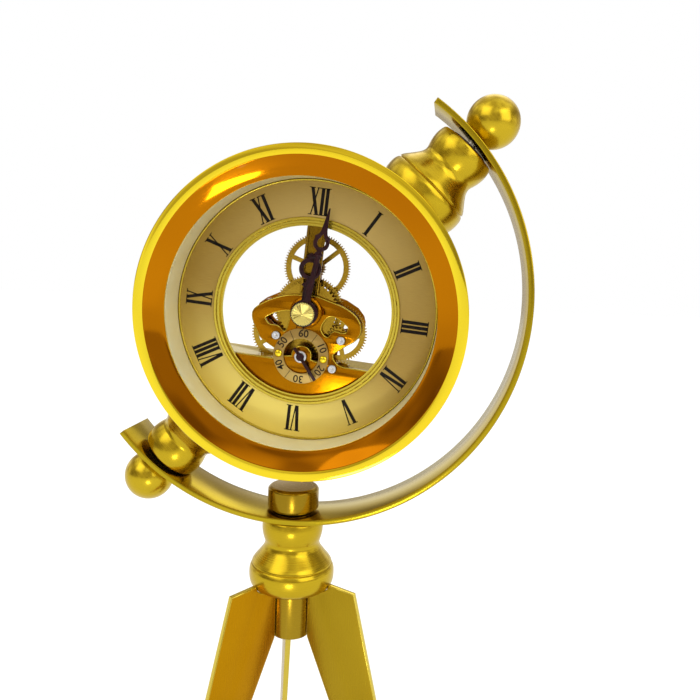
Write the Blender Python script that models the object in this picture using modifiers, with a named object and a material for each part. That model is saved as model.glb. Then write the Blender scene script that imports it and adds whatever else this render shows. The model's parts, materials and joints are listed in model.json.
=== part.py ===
"""Skeleton clock on a tripod: a round see-through head that turns in a rolled meridian arm.

Metres, +Z up, floor at z = 0. The head is drawn in dial axes: X towards three, Y towards twelve,
Z out of the dial. Its origin lies on the trunnion axis, in the middle of the head.
"""
from math import acos, asin, atan2, cos, pi, radians, sin, sqrt, tau

import bmesh
import bpy
from mathutils import Matrix, Vector

MM = 0.001

# Fits shared by all pieces
GAP = 0.3 * MM
OVERRUN = 2.0 * MM
MERGE = 0.01 * MM
EDGE_ROUND = 0.3 * MM
FUSE_DEPTH = 0.1 * MM
RING_STEPS = 44
TURNED_STEPS = 20
SMALL_STEPS = 10

# Tripod
LEG_HEIGHT = 123.0 * MM
LEG_EAR_RISE = 2.6 * MM
LEG_EAR_SLOPE = 1.7 * MM
LEG_TOP_REACH = 28.5 * MM
LEG_FOOT_REACH = 59.8 * MM
LEG_FOOT_WIDTH = 7.6 * MM
LEG_THICKNESS = 2.4 * MM
LEG_TURNS = {"leg_front_left": radians(-45), "leg_front_right": radians(75), "leg_rear": radians(195)}
HUB_RADIUS = 7.9 * MM
HUB_LENGTH = 19.6 * MM

# Collar and spindles share one turned pattern, from the plain end to the beaded end
TURNED_RADIUS = 17.5 * MM
COLLAR_LENGTH = 30.0 * MM
TURNED_SHARES = (
    (0, 0.655), (0.040, 0.690), (0.110, 0.712), (0.180, 0.706), (0.250, 0.682), (0.313, 0.648),
    (0.370, 0.638), (0.437, 0.651), (0.507, 0.720), (0.567, 0.823), (0.640, 0.937), (0.660, 0.949),
    (0.670, 0.931), (0.700, 0.966), (0.780, 1.000), (0.873, 0.983), (0.953, 0.903), (1.000, 0.720),
)

# Clamp through hub, collar and arm
CLAMP_RADIUS = 3.0 * MM
CLAMP_HEAD_RADIUS = 5.0 * MM
CLAMP_HEAD_HEIGHT = 4.0 * MM
CAP_NUT_RADIUS = 9.6 * MM
CAP_NUT_HEIGHT = 9.0 * MM
CAP_NUT_CHAMFER = 0.7 * MM
CAP_NUT_ROOF = 2.5 * MM
WASHER_THICKNESS = 0.6 * MM
WASHER_OVERHANG = 5.5 * MM

# Meridian arm, and how the trunnion axis lies in it
ARM_RADIUS = 90.3 * MM
ARM_THICKNESS = 2.27 * MM
ARM_WIDTH = 24.6 * MM
ARM_START = radians(-140.3)
ARM_END = radians(55.0)
ARM_STEPS = 56
CHORD_OFFSET = 7.3 * MM
TRUNNION_TILT = radians(47.2)
HEAD_PITCH = radians(2.9)
DIAL_TRUNNION = radians(53.0)

# Trunnion pieces
STUD_RADIUS = 2.0 * MM
STUD_IN_SPINDLE = 13.0 * MM
STUD_IN_FINIAL = 7.0 * MM
FINIAL_RADIUS = 10.05 * MM
FINIAL_FLAT_DROP = 8.2 * MM
FINIAL_STEPS = 7
PIVOT_WASHER_RADIUS = 8.0 * MM
TENON_RADIUS = 3.0 * MM

# Case
CASE_RADIUS = 55.0 * MM
CASE_WALL = 2.5 * MM
CASE_STEP = 3.0 * MM
CASE_BACK = -18.0 * MM
CASE_FRONT = 19.0 * MM
BEZEL_OVERHANG = 5.0 * MM
BEZEL_RIM = 3.8 * MM
BEZEL_LAP = 5.8 * MM
BEZEL_COVE_DEPTH = 2.1 * MM
BEZEL_LIP = 0.7 * MM
BEZEL_ROUND = 0.5 * MM
BEZEL_BACK_SLOPE = 1.2 * MM
SPIGOT_WALL = 0.9 * MM
SPIGOT_DEPTH = 2.5 * MM
GLASS_THICKNESS = 1.5 * MM
GLASS_SETBACK = 3.6 * MM
REFLECTOR_WALL = 1.4 * MM
DIAL_FRONT = 14.0 * MM
DIAL_DEPTH = 20.0 * MM
DIAL_THICKNESS = 1.0 * MM
DIAL_WIDTH = 20.5 * MM
RIM_WIDTH = 1.1 * MM
RIM_STEP = 0.9 * MM
RIM_PROUD = 0.4 * MM
RIM_DROP = 0.7 * MM
COVER_THICKNESS = 2.0 * MM
REAR_FRAME = 11.0 * MM
REAR_GLASS_LAP = 1.5 * MM
REAR_CHORD = -21.8 * MM

# Movement plates and levels, measured back from the dial
PLATE_SETBACK = 1.0 * MM
PLATE_THICKNESS = 1.4 * MM
WHEEL_THICKNESS = 0.8 * MM
WHEEL_SPACE = 1.2 * MM
PINION_MARGIN = 0.2 * MM
ARBOR_RADIUS = 0.5 * MM
REAR_PLATE_THICKNESS = 1.2 * MM
REAR_PLATE_GROWTH = 1.03
REAR_PLATE_RISE = 1.1 * MM
MASK_HALF_WIDTH = 21.5 * MM
BOSS_RADIUS = 6.1 * MM
BOSS_HEIGHT = 2.0 * MM
BOSS_CHAMFER = 0.6 * MM
SEGMENT_CHORD = -19.6 * MM
HOUSING_WALL = 1.0 * MM
HOUSING_BACK = -8.0 * MM
PLATE_FOOT_REACH = 27.5 * MM
PLATE_FOOT_DEPTH = 8.6 * MM
PILLAR_RADIUS = 1.2 * MM
PILLAR_SHARES = {
    "pillar_upper": (-0.740, 0.060),
    "pillar_lower_left": (-0.675, -1.098),
    "pillar_lower_right": (0.419, -1.209),
}
BRIDGE_WIDTH = 7.2 * MM
BRIDGE_FLANGE = 1.0 * MM
BRIDGE_SHEET = 0.8 * MM
BRIDGE_FOOT = 6.9 * MM
MASK_SHARES = (
    (-0.116, 0.290), (-0.349, 0.260), (-0.595, 0.172), (-0.814, 0.047), (-0.949, -0.074),
    (-0.977, -0.191), (-0.935, -0.326), (-0.849, -0.474), (-0.763, -0.591), (-0.614, -0.674),
    (-0.512, -0.728),
)
MASK_RIGHT_SHARES = (
    (0.572, -0.721), (0.595, -0.674), (0.781, -0.516), (0.926, -0.405),
    (1.000, -0.279), (1.000, -0.158), (0.960, -0.051), (0.842, 0.074), (0.619, 0.181), (0.363, 0.247),
    (0.149, 0.300),
)
NECK_FILLET_SHARES = ((0.793, -0.896), (0.670, -0.864), (0.584, -0.778))
LEFT_WINDOW_SHARES = (
    (-0.706, -0.236), (-0.697, -0.188), (-0.530, -0.084), (-0.330, -0.030), (-0.292, -0.075),
    (-0.305, -0.233), (-0.330, -0.354), (-0.365, -0.393), (-0.445, -0.330), (-0.517, -0.304),
    (-0.633, -0.302),
)
RIGHT_WINDOW_SHARES = (
    (0.300, -0.270), (0.330, -0.150), (0.420, -0.040), (0.560, -0.055), (0.720, -0.147),
    (0.760, -0.187), (0.737, -0.265), (0.660, -0.288), (0.600, -0.276), (0.520, -0.278),
    (0.465, -0.335), (0.418, -0.395), (0.345, -0.355),
)
SECONDS_WINDOW_RADIUS = 7.2 * MM
SECONDS_BOSS_RADIUS = 4.0 * MM
SECONDS_WINDOW_START = radians(-14)
SECONDS_WINDOW_END = radians(187)
RIVET_RADIUS = 1.7 * MM
RIVET_HEAD = 0.6 * MM
RIVET_SHARES = {"plate_rivet_right": (0.670, -0.428), "plate_rivet_lower": (0.578, -0.955)}

# Wheels: teeth counts, and modules of the common train, the pair that drives the seconds and the motion work
MODULE = 0.334 * MM
THIRD_MODULE = 0.37 * MM
MOTION_MODULE = 0.364 * MM
CENTRE_TEETH = 80
THIRD_PINION = 10
THIRD_TEETH = 60
FOURTH_PINION = 8
FOURTH_TEETH = 48
UPPER_PINION = 20
UPPER_TEETH = 76
CANNON_TEETH = 20
MINUTE_TEETH = 60
MINUTE_PINION = 12
HOUR_TEETH = 48
IDLER_TEETH = 20
SETTING_TEETH = 31
ADDENDUM_SHARE = 0.8
DEDENDUM_SHARE = 1.1
SECONDS_DROP = 17.2 * MM
MINUTE_WHEEL_TURN = radians(-29.6)
UPPER_WHEEL_TURN = radians(87.0)
IDLER_DROP = 21.4 * MM
SETTING_DROP = 27.5 * MM
CROSSING_RIM = 2.4 * MM
CROSSING_HUB = 3.0 * MM
SPOKE_WIDTH = 1.8 * MM
SPOKE_COUNT = 5
UPPER_SPOKES = 3
UPPER_SPOKE_TURN = radians(44.0)
CROSSING_ARC_STEPS = 15

# Hands and seconds dial
CENTRE_ARBOR_RADIUS = 0.8 * MM
HOUR_PIPE_WALL = 1.0 * MM
HOUR_HAND_LIFT = 5.0 * MM
MINUTE_HAND_LIFT = 7.2 * MM
HAND_THICKNESS = 0.5 * MM
HAND_NUT_RADIUS = 4.4 * MM
HAND_NUT_HEIGHT = 3.2 * MM
HAND_NUT_CROWN = 1.4 * MM
HAND_HUB_RADIUS = 5.0 * MM
HOUR_HAND_LENGTH = 22.7 * MM
MINUTE_HAND_LENGTH = 39.6 * MM
HOUR_HAND_SHARES = (
    (0.075, 0.240), (0.081, 0.583), (0.149, 0.649), (0.172, 0.735), (0.141, 0.834), (0.064, 0.894),
    (0.030, 0.960), (0, 1.000),
)
HOUR_LOOP_SHARES = (0.735, 0.107)
MINUTE_HAND_SHARES = (
    (0.032, 0.140), (0.032, 0.600), (0.058, 0.645), (0.066, 0.700), (0.066, 0.742), (0.030, 0.792),
    (0.010, 1.000),
)
MINUTE_LOOP_SHARES = (0.690, 0.043)
SECONDS_HAND_LENGTH = 10.6 * MM
SECONDS_TAIL = 4.2 * MM
SECONDS_HAND_LIFT = 2.8 * MM
SECONDS_CAP_RADIUS = 1.5 * MM
SECONDS_CAP_HEIGHT = 1.1 * MM
SECONDS_DIAL_RADIUS = 10.7 * MM
SECONDS_DIAL_OPENING = 6.8 * MM
SECONDS_DIAL_THICKNESS = 0.8 * MM
DIAL_SCREW_RADIUS = 1.5 * MM
DIAL_SCREW_SHANK = 0.6 * MM
DIAL_SCREW_DOME = 0.8 * MM
DOME_SHARES = ((0, 1.0), (0.7, 0.7), (1.0, 0))
MINUTE_ANGLE = radians(7.3)
HOUR_ANGLE = radians(0.6)
SECONDS_ANGLE = radians(141.0)

# Power: one small round cell, its cradle, and the stepping motor
CELL_RADIUS = 5.25 * MM
CELL_LENGTH = 44.5 * MM
CELL_NUB_RADIUS = 1.9 * MM
CELL_NUB_LENGTH = 1.0 * MM
CELL_SHIFT = -4.7 * MM
CELL_DROP = 31.3 * MM
CELL_DEPTH = -9.7 * MM
CONTACT_THICKNESS = 0.4 * MM
CRADLE_WALL = 1.0 * MM
CRADLE_SLACK = 0.5 * MM
BOARD_WIDTH = 29.0 * MM
BOARD_HEIGHT = 11.5 * MM
BOARD_THICKNESS = 1.0 * MM
BOARD_SHIFT = -15.5 * MM
BOARD_DROP = 25.4 * MM
COIL_RADIUS = 3.0 * MM
COIL_LENGTH = 15.0 * MM
COIL_CORE_RADIUS = 1.3 * MM
STATOR_SIZE = 5.0 * MM
STATOR_THICKNESS = 1.2 * MM
KNOB_RADIUS = 3.5 * MM
KNOB_HEIGHT = 6.0 * MM
KNOB_FLOOR = 2.0 * MM
KNOB_FLUTES = 12
KNOB_FLUTE_DEPTH = 0.35 * MM
SETTING_ARBOR_RADIUS = 0.8 * MM
DOOR_THICKNESS = 1.7 * MM
DOOR_HINGE_INSET = 0.3 * MM

# Places that follow from the sizes
HUB_BOTTOM = LEG_HEIGHT - HUB_LENGTH
COLLAR_BOTTOM = LEG_HEIGHT + GAP
COLLAR_TOP = COLLAR_BOTTOM + COLLAR_LENGTH
ARM_INNER = ARM_RADIUS - ARM_THICKNESS
ARM_CENTRE = Vector((0, 0, COLLAR_TOP + GAP + ARM_RADIUS))
ARM_SEAT = COLLAR_TOP + GAP + ARM_THICKNESS
TRUNNION = Vector((cos(TRUNNION_TILT), 0, sin(TRUNNION_TILT)))
OPEN_SIDE = Vector((-sin(TRUNNION_TILT), 0, cos(TRUNNION_TILT)))
HEAD_CENTRE = ARM_CENTRE - CHORD_OFFSET * OPEN_SIDE
FINIAL_FLAT_RADIUS = sqrt(FINIAL_RADIUS ** 2 - FINIAL_FLAT_DROP ** 2)
PIVOT_BORE = STUD_RADIUS + GAP
CLAMP_BORE = CLAMP_RADIUS + GAP
SHOULDER = DIAL_FRONT - DIAL_THICKNESS - GAP
BEZEL_RADIUS = CASE_RADIUS + BEZEL_OVERHANG
BEZEL_OPENING = CASE_RADIUS - BEZEL_LAP
DIAL_OPENING = CASE_RADIUS - DIAL_WIDTH
RIM_RADIUS = DIAL_OPENING + RIM_WIDTH
REAR_OPENING = CASE_RADIUS - REAR_FRAME
CASE_BORE = CASE_RADIUS - CASE_WALL
CASE_INNER = CASE_BORE - CASE_STEP
BEZEL_FRONT = DIAL_FRONT + DIAL_DEPTH
GLASS_FRONT = BEZEL_FRONT - GLASS_SETBACK - GAP
BEZEL_BORE = CASE_BORE - GAP - SPIGOT_WALL
PLATE_FRONT = DIAL_FRONT - DIAL_THICKNESS - PLATE_SETBACK
PLATE_BACK = PLATE_FRONT - PLATE_THICKNESS
HOUSING_RADIUS = CASE_INNER - GAP
COVER_FRONT = CASE_BACK - GAP
COVER_BACK = COVER_FRONT - COVER_THICKNESS
SECONDS_PLACE = (0, -SECONDS_DROP)
WALL_UNDERSIDE = SEGMENT_CHORD - HOUSING_WALL
PLATE_FOOT_TOP = WALL_UNDERSIDE - GAP


def level(index):
    """Back and front of a wheel level, counted from the front plate."""
    front = PLATE_BACK - WHEEL_THICKNESS - index * (WHEEL_THICKNESS + WHEEL_SPACE)
    return front - WHEEL_THICKNESS, front


REAR_PLATE_FRONT = level(4)[0] - WHEEL_SPACE
REAR_PLATE_BACK = REAR_PLATE_FRONT - REAR_PLATE_THICKNESS
HOUR_HAND_BACK = PLATE_FRONT + HOUR_HAND_LIFT
MINUTE_HAND_BACK = PLATE_FRONT + MINUTE_HAND_LIFT
SECONDS_HAND_BACK = PLATE_FRONT + SECONDS_HAND_LIFT
HOUR_PIPE_BORE = CENTRE_ARBOR_RADIUS + GAP
HOUR_PIPE_RADIUS = HOUR_PIPE_BORE + HOUR_PIPE_WALL


def on_circle(radius, angle, centre=(0, 0)):
    """A point on a circle in the dial plane."""
    return centre[0] + radius * cos(angle), centre[1] + radius * sin(angle)


def arc(radius, start, end, steps, centre=(0, 0)):
    """Points along an arc, both ends included."""
    return [on_circle(radius, start + (end - start) * k / steps, centre) for k in range(steps + 1)]


def circle(radius, steps, centre=(0, 0)):
    """Points round a full circle."""
    return arc(radius, 0, tau, steps, centre)[:-1]


def third_place():
    """Where the third wheel stands: in mesh with the centre wheel and the fourth pinion."""
    to_centre = MODULE * (CENTRE_TEETH + THIRD_PINION) / 2
    to_fourth = THIRD_MODULE * (THIRD_TEETH + FOURTH_PINION) / 2
    swing = acos((to_centre ** 2 + SECONDS_DROP ** 2 - to_fourth ** 2) / (2 * to_centre * SECONDS_DROP))
    return on_circle(to_centre, -pi / 2 - swing)


def place_below(place, teeth, own_teeth, drop):
    """Where a wheel stands that meshes with the wheel at a place, at a drop below the dial's centre."""
    reach = MOTION_MODULE * (teeth + own_teeth) / 2
    fall = drop + place[1]
    return place[0] + sqrt(reach ** 2 - fall ** 2), -drop


MOTION_DISTANCE = MOTION_MODULE * (CANNON_TEETH + MINUTE_TEETH) / 2
HOUR_MODULE = 2 * MOTION_DISTANCE / (HOUR_TEETH + MINUTE_PINION)
THIRD_PLACE = third_place()
MINUTE_PLACE = on_circle(MOTION_DISTANCE, MINUTE_WHEEL_TURN)
IDLER_PLACE = place_below(MINUTE_PLACE, MINUTE_TEETH, IDLER_TEETH, IDLER_DROP)
SETTING_PLACE = place_below(IDLER_PLACE, IDLER_TEETH, SETTING_TEETH, SETTING_DROP)
UPPER_PLACE = on_circle(MODULE * (CENTRE_TEETH + UPPER_PINION) / 2, UPPER_WHEEL_TURN)


def chord_height(radius, reach):
    """Least height over the trunnion's centre, within a reach, of a circle about the arm's centre."""
    return sqrt(radius ** 2 - (CHORD_OFFSET + reach) ** 2)


def clear_scene():
    """Remove what the scene holds and start two collections."""
    for thing in list(bpy.data.objects):
        bpy.data.objects.remove(thing, do_unlink=True)
    made = bpy.data.collections.new("skeleton_clock")
    cutting = bpy.data.collections.new("cutters")
    bpy.context.scene.collection.children.link(made)
    bpy.context.scene.collection.children.link(cutting)
    return made, cutting


parts, cutters = clear_scene()


def finish(name, colour, metallic, roughness, alpha=1.0):
    """One Principled material."""
    made = bpy.data.materials.new(name)
    made.use_nodes = True
    shader = made.node_tree.nodes["Principled BSDF"]
    shader.inputs["Base Color"].default_value = (*colour, 1.0)
    shader.inputs["Metallic"].default_value = metallic
    shader.inputs["Roughness"].default_value = roughness
    shader.inputs["Alpha"].default_value = alpha
    return made


SATIN_BRASS = finish("satin_brass", (0.62, 0.46, 0.14), 1.0, 0.36)
POLISHED_GOLD = finish("polished_gold", (0.92, 0.68, 0.16), 1.0, 0.12)
CHAMPAGNE = finish("champagne_dial", (0.80, 0.66, 0.38), 0.8, 0.38)
WARM_GOLD = finish("warm_gold_plate", (0.83, 0.50, 0.10), 1.0, 0.25)
WHEEL_GOLD = finish("wheel_gold", (0.74, 0.54, 0.16), 1.0, 0.30)
DARK_HAND = finish("dark_hand", (0.06, 0.02, 0.04), 0.6, 0.25)
STEEL = finish("steel", (0.60, 0.60, 0.62), 1.0, 0.30)
CREAM = finish("cream_reflector", (0.86, 0.80, 0.62), 0.0, 0.45)
GLASS = finish("clear_glass", (0.95, 0.97, 0.97), 0.0, 0.03, 0.15)
BLACK = finish("black_plastic", (0.03, 0.03, 0.03), 0.0, 0.45)
COPPER = finish("copper_winding", (0.60, 0.25, 0.12), 1.0, 0.35)
BOARD_GREEN = finish("board_green", (0.04, 0.22, 0.10), 0.0, 0.50)
CELL_JACKET = finish("cell_jacket", (0.20, 0.20, 0.22), 0.3, 0.35)


def frame_empty(name, parent=None, matrix=None):
    """An empty that carries a group of pieces."""
    made = bpy.data.objects.new(name, None)
    parts.objects.link(made)
    made.parent = parent
    if matrix is not None:
        made.matrix_local = matrix
    return made


def add_object(name, mesh, dress, parent, matrix=None):
    """Put a mesh in the parts collection under its parent."""
    made = bpy.data.objects.new(name, mesh)
    parts.objects.link(made)
    made.parent = parent
    if matrix is not None:
        made.matrix_local = matrix
    if dress is not None:
        made.data.materials.append(dress)
    return made


def make_cutter(thing):
    """Move a body to the cutters and keep it out of the build."""
    parts.objects.unlink(thing)
    cutters.objects.link(thing)
    thing.hide_render = True
    thing.display_type = "WIRE"
    return thing


def combine(thing, operation, tool):
    """Cut a tool from a body, or join it to the body."""
    modifier = thing.modifiers.new(tool.name, "BOOLEAN")
    modifier.operation = operation
    modifier.solver = "EXACT"
    modifier.object = make_cutter(tool)
    return thing


def turned(name, profile, dress, parent, matrix=None, steps=RING_STEPS):
    """Turned body from (radius, height) points that run down its outer side."""
    mesh = bpy.data.meshes.new(name)
    shape = bmesh.new()
    corners = [shape.verts.new((radius, 0, height)) for radius, height in profile]
    for first, second in zip(corners, corners[1:]):
        shape.edges.new((first, second))
    if profile[0][0] > 0:
        shape.edges.new((corners[-1], corners[0]))
    shape.to_mesh(mesh)
    shape.free()
    made = add_object(name, mesh, dress, parent, matrix)
    screw = made.modifiers.new("turning", "SCREW")
    screw.axis = "Z"
    screw.steps = steps
    screw.render_steps = steps
    screw.use_merge_vertices = True
    screw.merge_threshold = MERGE
    screw.use_smooth_shade = True
    return made


def ring(name, outer, inner, low, high, dress, parent, steps=RING_STEPS):
    """Plain turned ring between two heights."""
    section = [(outer, high), (outer, low), (inner, low), (inner, high)]
    return turned(name, section, dress, parent, None, steps)


def rod(name, radius, low, high, dress, parent, matrix=None, steps=SMALL_STEPS):
    """Plain turned rod between two heights."""
    return turned(name, [(0, high), (radius, high), (radius, low), (0, low)], dress, parent, matrix, steps)


def flat(name, outlines, low, high, dress, parent, matrix=None):
    """Flat body: closed outlines in the XY plane, holes included, between two heights."""
    drawing = bpy.data.curves.new(name + "_outline", "CURVE")
    drawing.dimensions = "2D"
    drawing.fill_mode = "BOTH"
    drawing.extrude = (high - low) / 2
    for outline in outlines:
        spline = drawing.splines.new("POLY")
        spline.points.add(len(outline) - 1)
        for point, (x, y) in zip(spline.points, outline):
            point.co = (x, y, 0, 1)
        spline.use_cyclic_u = True
    drawn = bpy.data.objects.new(name + "_drawn", drawing)
    parts.objects.link(drawn)
    seen = drawn.evaluated_get(bpy.context.evaluated_depsgraph_get())
    mesh = bpy.data.meshes.new_from_object(seen)
    mesh.name = name
    mesh.transform(Matrix.Translation((0, 0, (high + low) / 2)))
    shape = bmesh.new()
    shape.from_mesh(mesh)
    bmesh.ops.remove_doubles(shape, verts=shape.verts, dist=MERGE)
    shape.to_mesh(mesh)
    shape.free()
    bpy.data.objects.remove(drawn, do_unlink=True)
    return add_object(name, mesh, dress, parent, matrix)


def block(name, low, high, dress, parent):
    """Box between two corners."""
    mesh = bpy.data.meshes.new(name)
    shape = bmesh.new()
    size = [b - a for a, b in zip(low, high)]
    middle = [(a + b) / 2 for a, b in zip(low, high)]
    bmesh.ops.create_cube(shape, size=1, matrix=Matrix.Translation(middle) @ Matrix.Diagonal((*size, 1)))
    shape.to_mesh(mesh)
    shape.free()
    return add_object(name, mesh, dress, parent)


def round_edges(thing, width):
    """Small bevel on every sharp edge."""
    bevel = thing.modifiers.new("edges", "BEVEL")
    bevel.width = width
    bevel.segments = 1
    bevel.limit_method = "ANGLE"
    return thing


def drill(thing, name, radius, low, high, parent, matrix=None, steps=SMALL_STEPS):
    """Round hole through a body."""
    return combine(thing, "DIFFERENCE", rod(name, radius, low, high, None, parent, matrix, steps))


def turned_profile(length, plain_end_up=True):
    """The shared turned pattern over a length, listed from its top down."""
    points = [(radius * TURNED_RADIUS, place * length) for place, radius in TURNED_SHARES]
    if plain_end_up:
        return [(radius, length - place) for radius, place in points]
    return list(reversed(points))


def build_tripod(stand):
    """Hub, three legs, collar, and the screw and nut that clamp the arm."""
    turned("tripod_hub", [
        (HUB_RADIUS, LEG_HEIGHT), (HUB_RADIUS, HUB_BOTTOM), (CLAMP_HEAD_RADIUS + GAP, HUB_BOTTOM),
        (CLAMP_HEAD_RADIUS + GAP, HUB_BOTTOM + CLAMP_HEAD_HEIGHT + GAP),
        (CLAMP_BORE, HUB_BOTTOM + CLAMP_HEAD_HEIGHT + GAP), (CLAMP_BORE, LEG_HEIGHT),
    ], SATIN_BRASS, stand, None, TURNED_STEPS)
    inner = HUB_RADIUS + GAP
    notch = TURNED_RADIUS + GAP
    ear_top = LEG_HEIGHT + LEG_EAR_RISE
    outline = [
        (inner, HUB_BOTTOM), (LEG_FOOT_REACH - LEG_FOOT_WIDTH, 0), (LEG_FOOT_REACH, 0),
        (LEG_TOP_REACH, ear_top), (notch, ear_top + LEG_EAR_SLOPE), (notch, LEG_HEIGHT), (inner, LEG_HEIGHT),
    ]
    for name, turn in LEG_TURNS.items():
        place = Matrix.Rotation(turn - pi / 2, 4, "Z") @ Matrix.Rotation(pi / 2, 4, "X")
        leg = flat(name, [outline], -LEG_THICKNESS / 2, LEG_THICKNESS / 2, SATIN_BRASS, stand, place)
        round_edges(leg, EDGE_ROUND)
    collar = [(radius, height + COLLAR_BOTTOM) for radius, height in turned_profile(COLLAR_LENGTH)]
    collar += [(CLAMP_BORE, COLLAR_BOTTOM), (CLAMP_BORE, COLLAR_TOP)]
    turned("base_collar", collar, SATIN_BRASS, stand, None, TURNED_STEPS)
    washer_radius = CLAMP_BORE + WASHER_OVERHANG
    washer_low = ARM_SEAT + ARM_INNER - sqrt(ARM_INNER ** 2 - washer_radius ** 2) + GAP
    ring("clamp_washer", washer_radius, CLAMP_BORE, washer_low, washer_low + WASHER_THICKNESS,
         STEEL, stand, TURNED_STEPS)
    nut_low = washer_low + WASHER_THICKNESS + GAP
    nut_high = nut_low + CAP_NUT_HEIGHT
    bore_top = nut_high - CAP_NUT_ROOF
    turned("cap_nut", [
        (0, nut_high), (CAP_NUT_RADIUS - CAP_NUT_CHAMFER, nut_high),
        (CAP_NUT_RADIUS, nut_high - CAP_NUT_CHAMFER), (CAP_NUT_RADIUS, nut_low), (CLAMP_BORE, nut_low),
        (CLAMP_BORE, bore_top), (0, bore_top),
    ], SATIN_BRASS, stand, None, TURNED_STEPS)
    head_top = HUB_BOTTOM + CLAMP_HEAD_HEIGHT
    turned("clamp_screw", [
        (0, bore_top - GAP), (CLAMP_RADIUS, bore_top - GAP), (CLAMP_RADIUS, head_top),
        (CLAMP_HEAD_RADIUS, head_top), (CLAMP_HEAD_RADIUS, HUB_BOTTOM), (0, HUB_BOTTOM),
    ], STEEL, stand, None, TURNED_STEPS)


def build_arm(stand):
    """Rolled strip with its three holes, open towards the upper left."""
    outline = arc(ARM_RADIUS, ARM_START, ARM_END, ARM_STEPS) + arc(ARM_INNER, ARM_END, ARM_START, ARM_STEPS)
    place = Matrix.Translation(ARM_CENTRE) @ Matrix.Rotation(pi / 2, 4, "X")
    arm = flat("meridian_arm", [outline], -ARM_WIDTH / 2, ARM_WIDTH / 2, SATIN_BRASS, stand, place)
    drill(arm, "clamp_hole", CLAMP_BORE, COLLAR_TOP - OVERRUN, ARM_SEAT + OVERRUN, stand)
    return arm


def build_trunnions(stand, trunnion, arm, head):
    """Studs, washers and ball finials on the arm, and the turned spindles of the head."""
    face = ARM_RADIUS + GAP
    washer_top = chord_height(ARM_INNER, PIVOT_WASHER_RADIUS) - GAP
    spindle_top = washer_top - WASHER_THICKNESS - GAP
    spindle_foot = CASE_RADIUS + GAP
    length = spindle_top - spindle_foot
    bore_foot = length - STUD_IN_SPINDLE - GAP
    tenon = CASE_WALL + GAP
    spindle = [(0, bore_foot), (PIVOT_BORE, bore_foot), (PIVOT_BORE, length)] + turned_profile(length)
    spindle += [(TENON_RADIUS, 0), (TENON_RADIUS, -tenon), (0, -tenon)]
    ball_centre = FINIAL_FLAT_DROP
    flat_angle = atan2(-FINIAL_FLAT_DROP, FINIAL_FLAT_RADIUS)
    ball = []
    for k in range(FINIAL_STEPS + 1):
        angle = pi / 2 + (flat_angle - pi / 2) * k / FINIAL_STEPS
        ball.append((FINIAL_RADIUS * cos(angle) if k else 0, ball_centre + FINIAL_RADIUS * sin(angle)))
    ball += [(PIVOT_BORE, 0), (PIVOT_BORE, STUD_IN_FINIAL + GAP), (0, STUD_IN_FINIAL + GAP)]
    for side, turn in (("upper", 0), ("lower", pi)):
        out = Matrix.Rotation(turn, 4, "Y")
        in_head = Matrix.Rotation(DIAL_TRUNNION + turn, 4, "Z") @ Matrix.Rotation(pi / 2, 4, "Y")
        turned(side + "_spindle", spindle, SATIN_BRASS, head,
               in_head @ Matrix.Translation((0, 0, spindle_foot)), TURNED_STEPS)
        turned(side + "_pivot_washer", [
            (PIVOT_WASHER_RADIUS, washer_top), (PIVOT_WASHER_RADIUS, washer_top - WASHER_THICKNESS),
            (PIVOT_BORE, washer_top - WASHER_THICKNESS), (PIVOT_BORE, washer_top),
        ], BLACK, trunnion, out, TURNED_STEPS)
        rod(side + "_pivot_stud", STUD_RADIUS, spindle_top - STUD_IN_SPINDLE, face + STUD_IN_FINIAL,
            STEEL, trunnion, out)
        turned(side + "_finial", ball, SATIN_BRASS, trunnion, out @ Matrix.Translation((0, 0, face)),
               TURNED_STEPS)
        drill(arm, side + "_stud_hole", PIVOT_BORE, washer_top, face + OVERRUN, trunnion, out)


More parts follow.
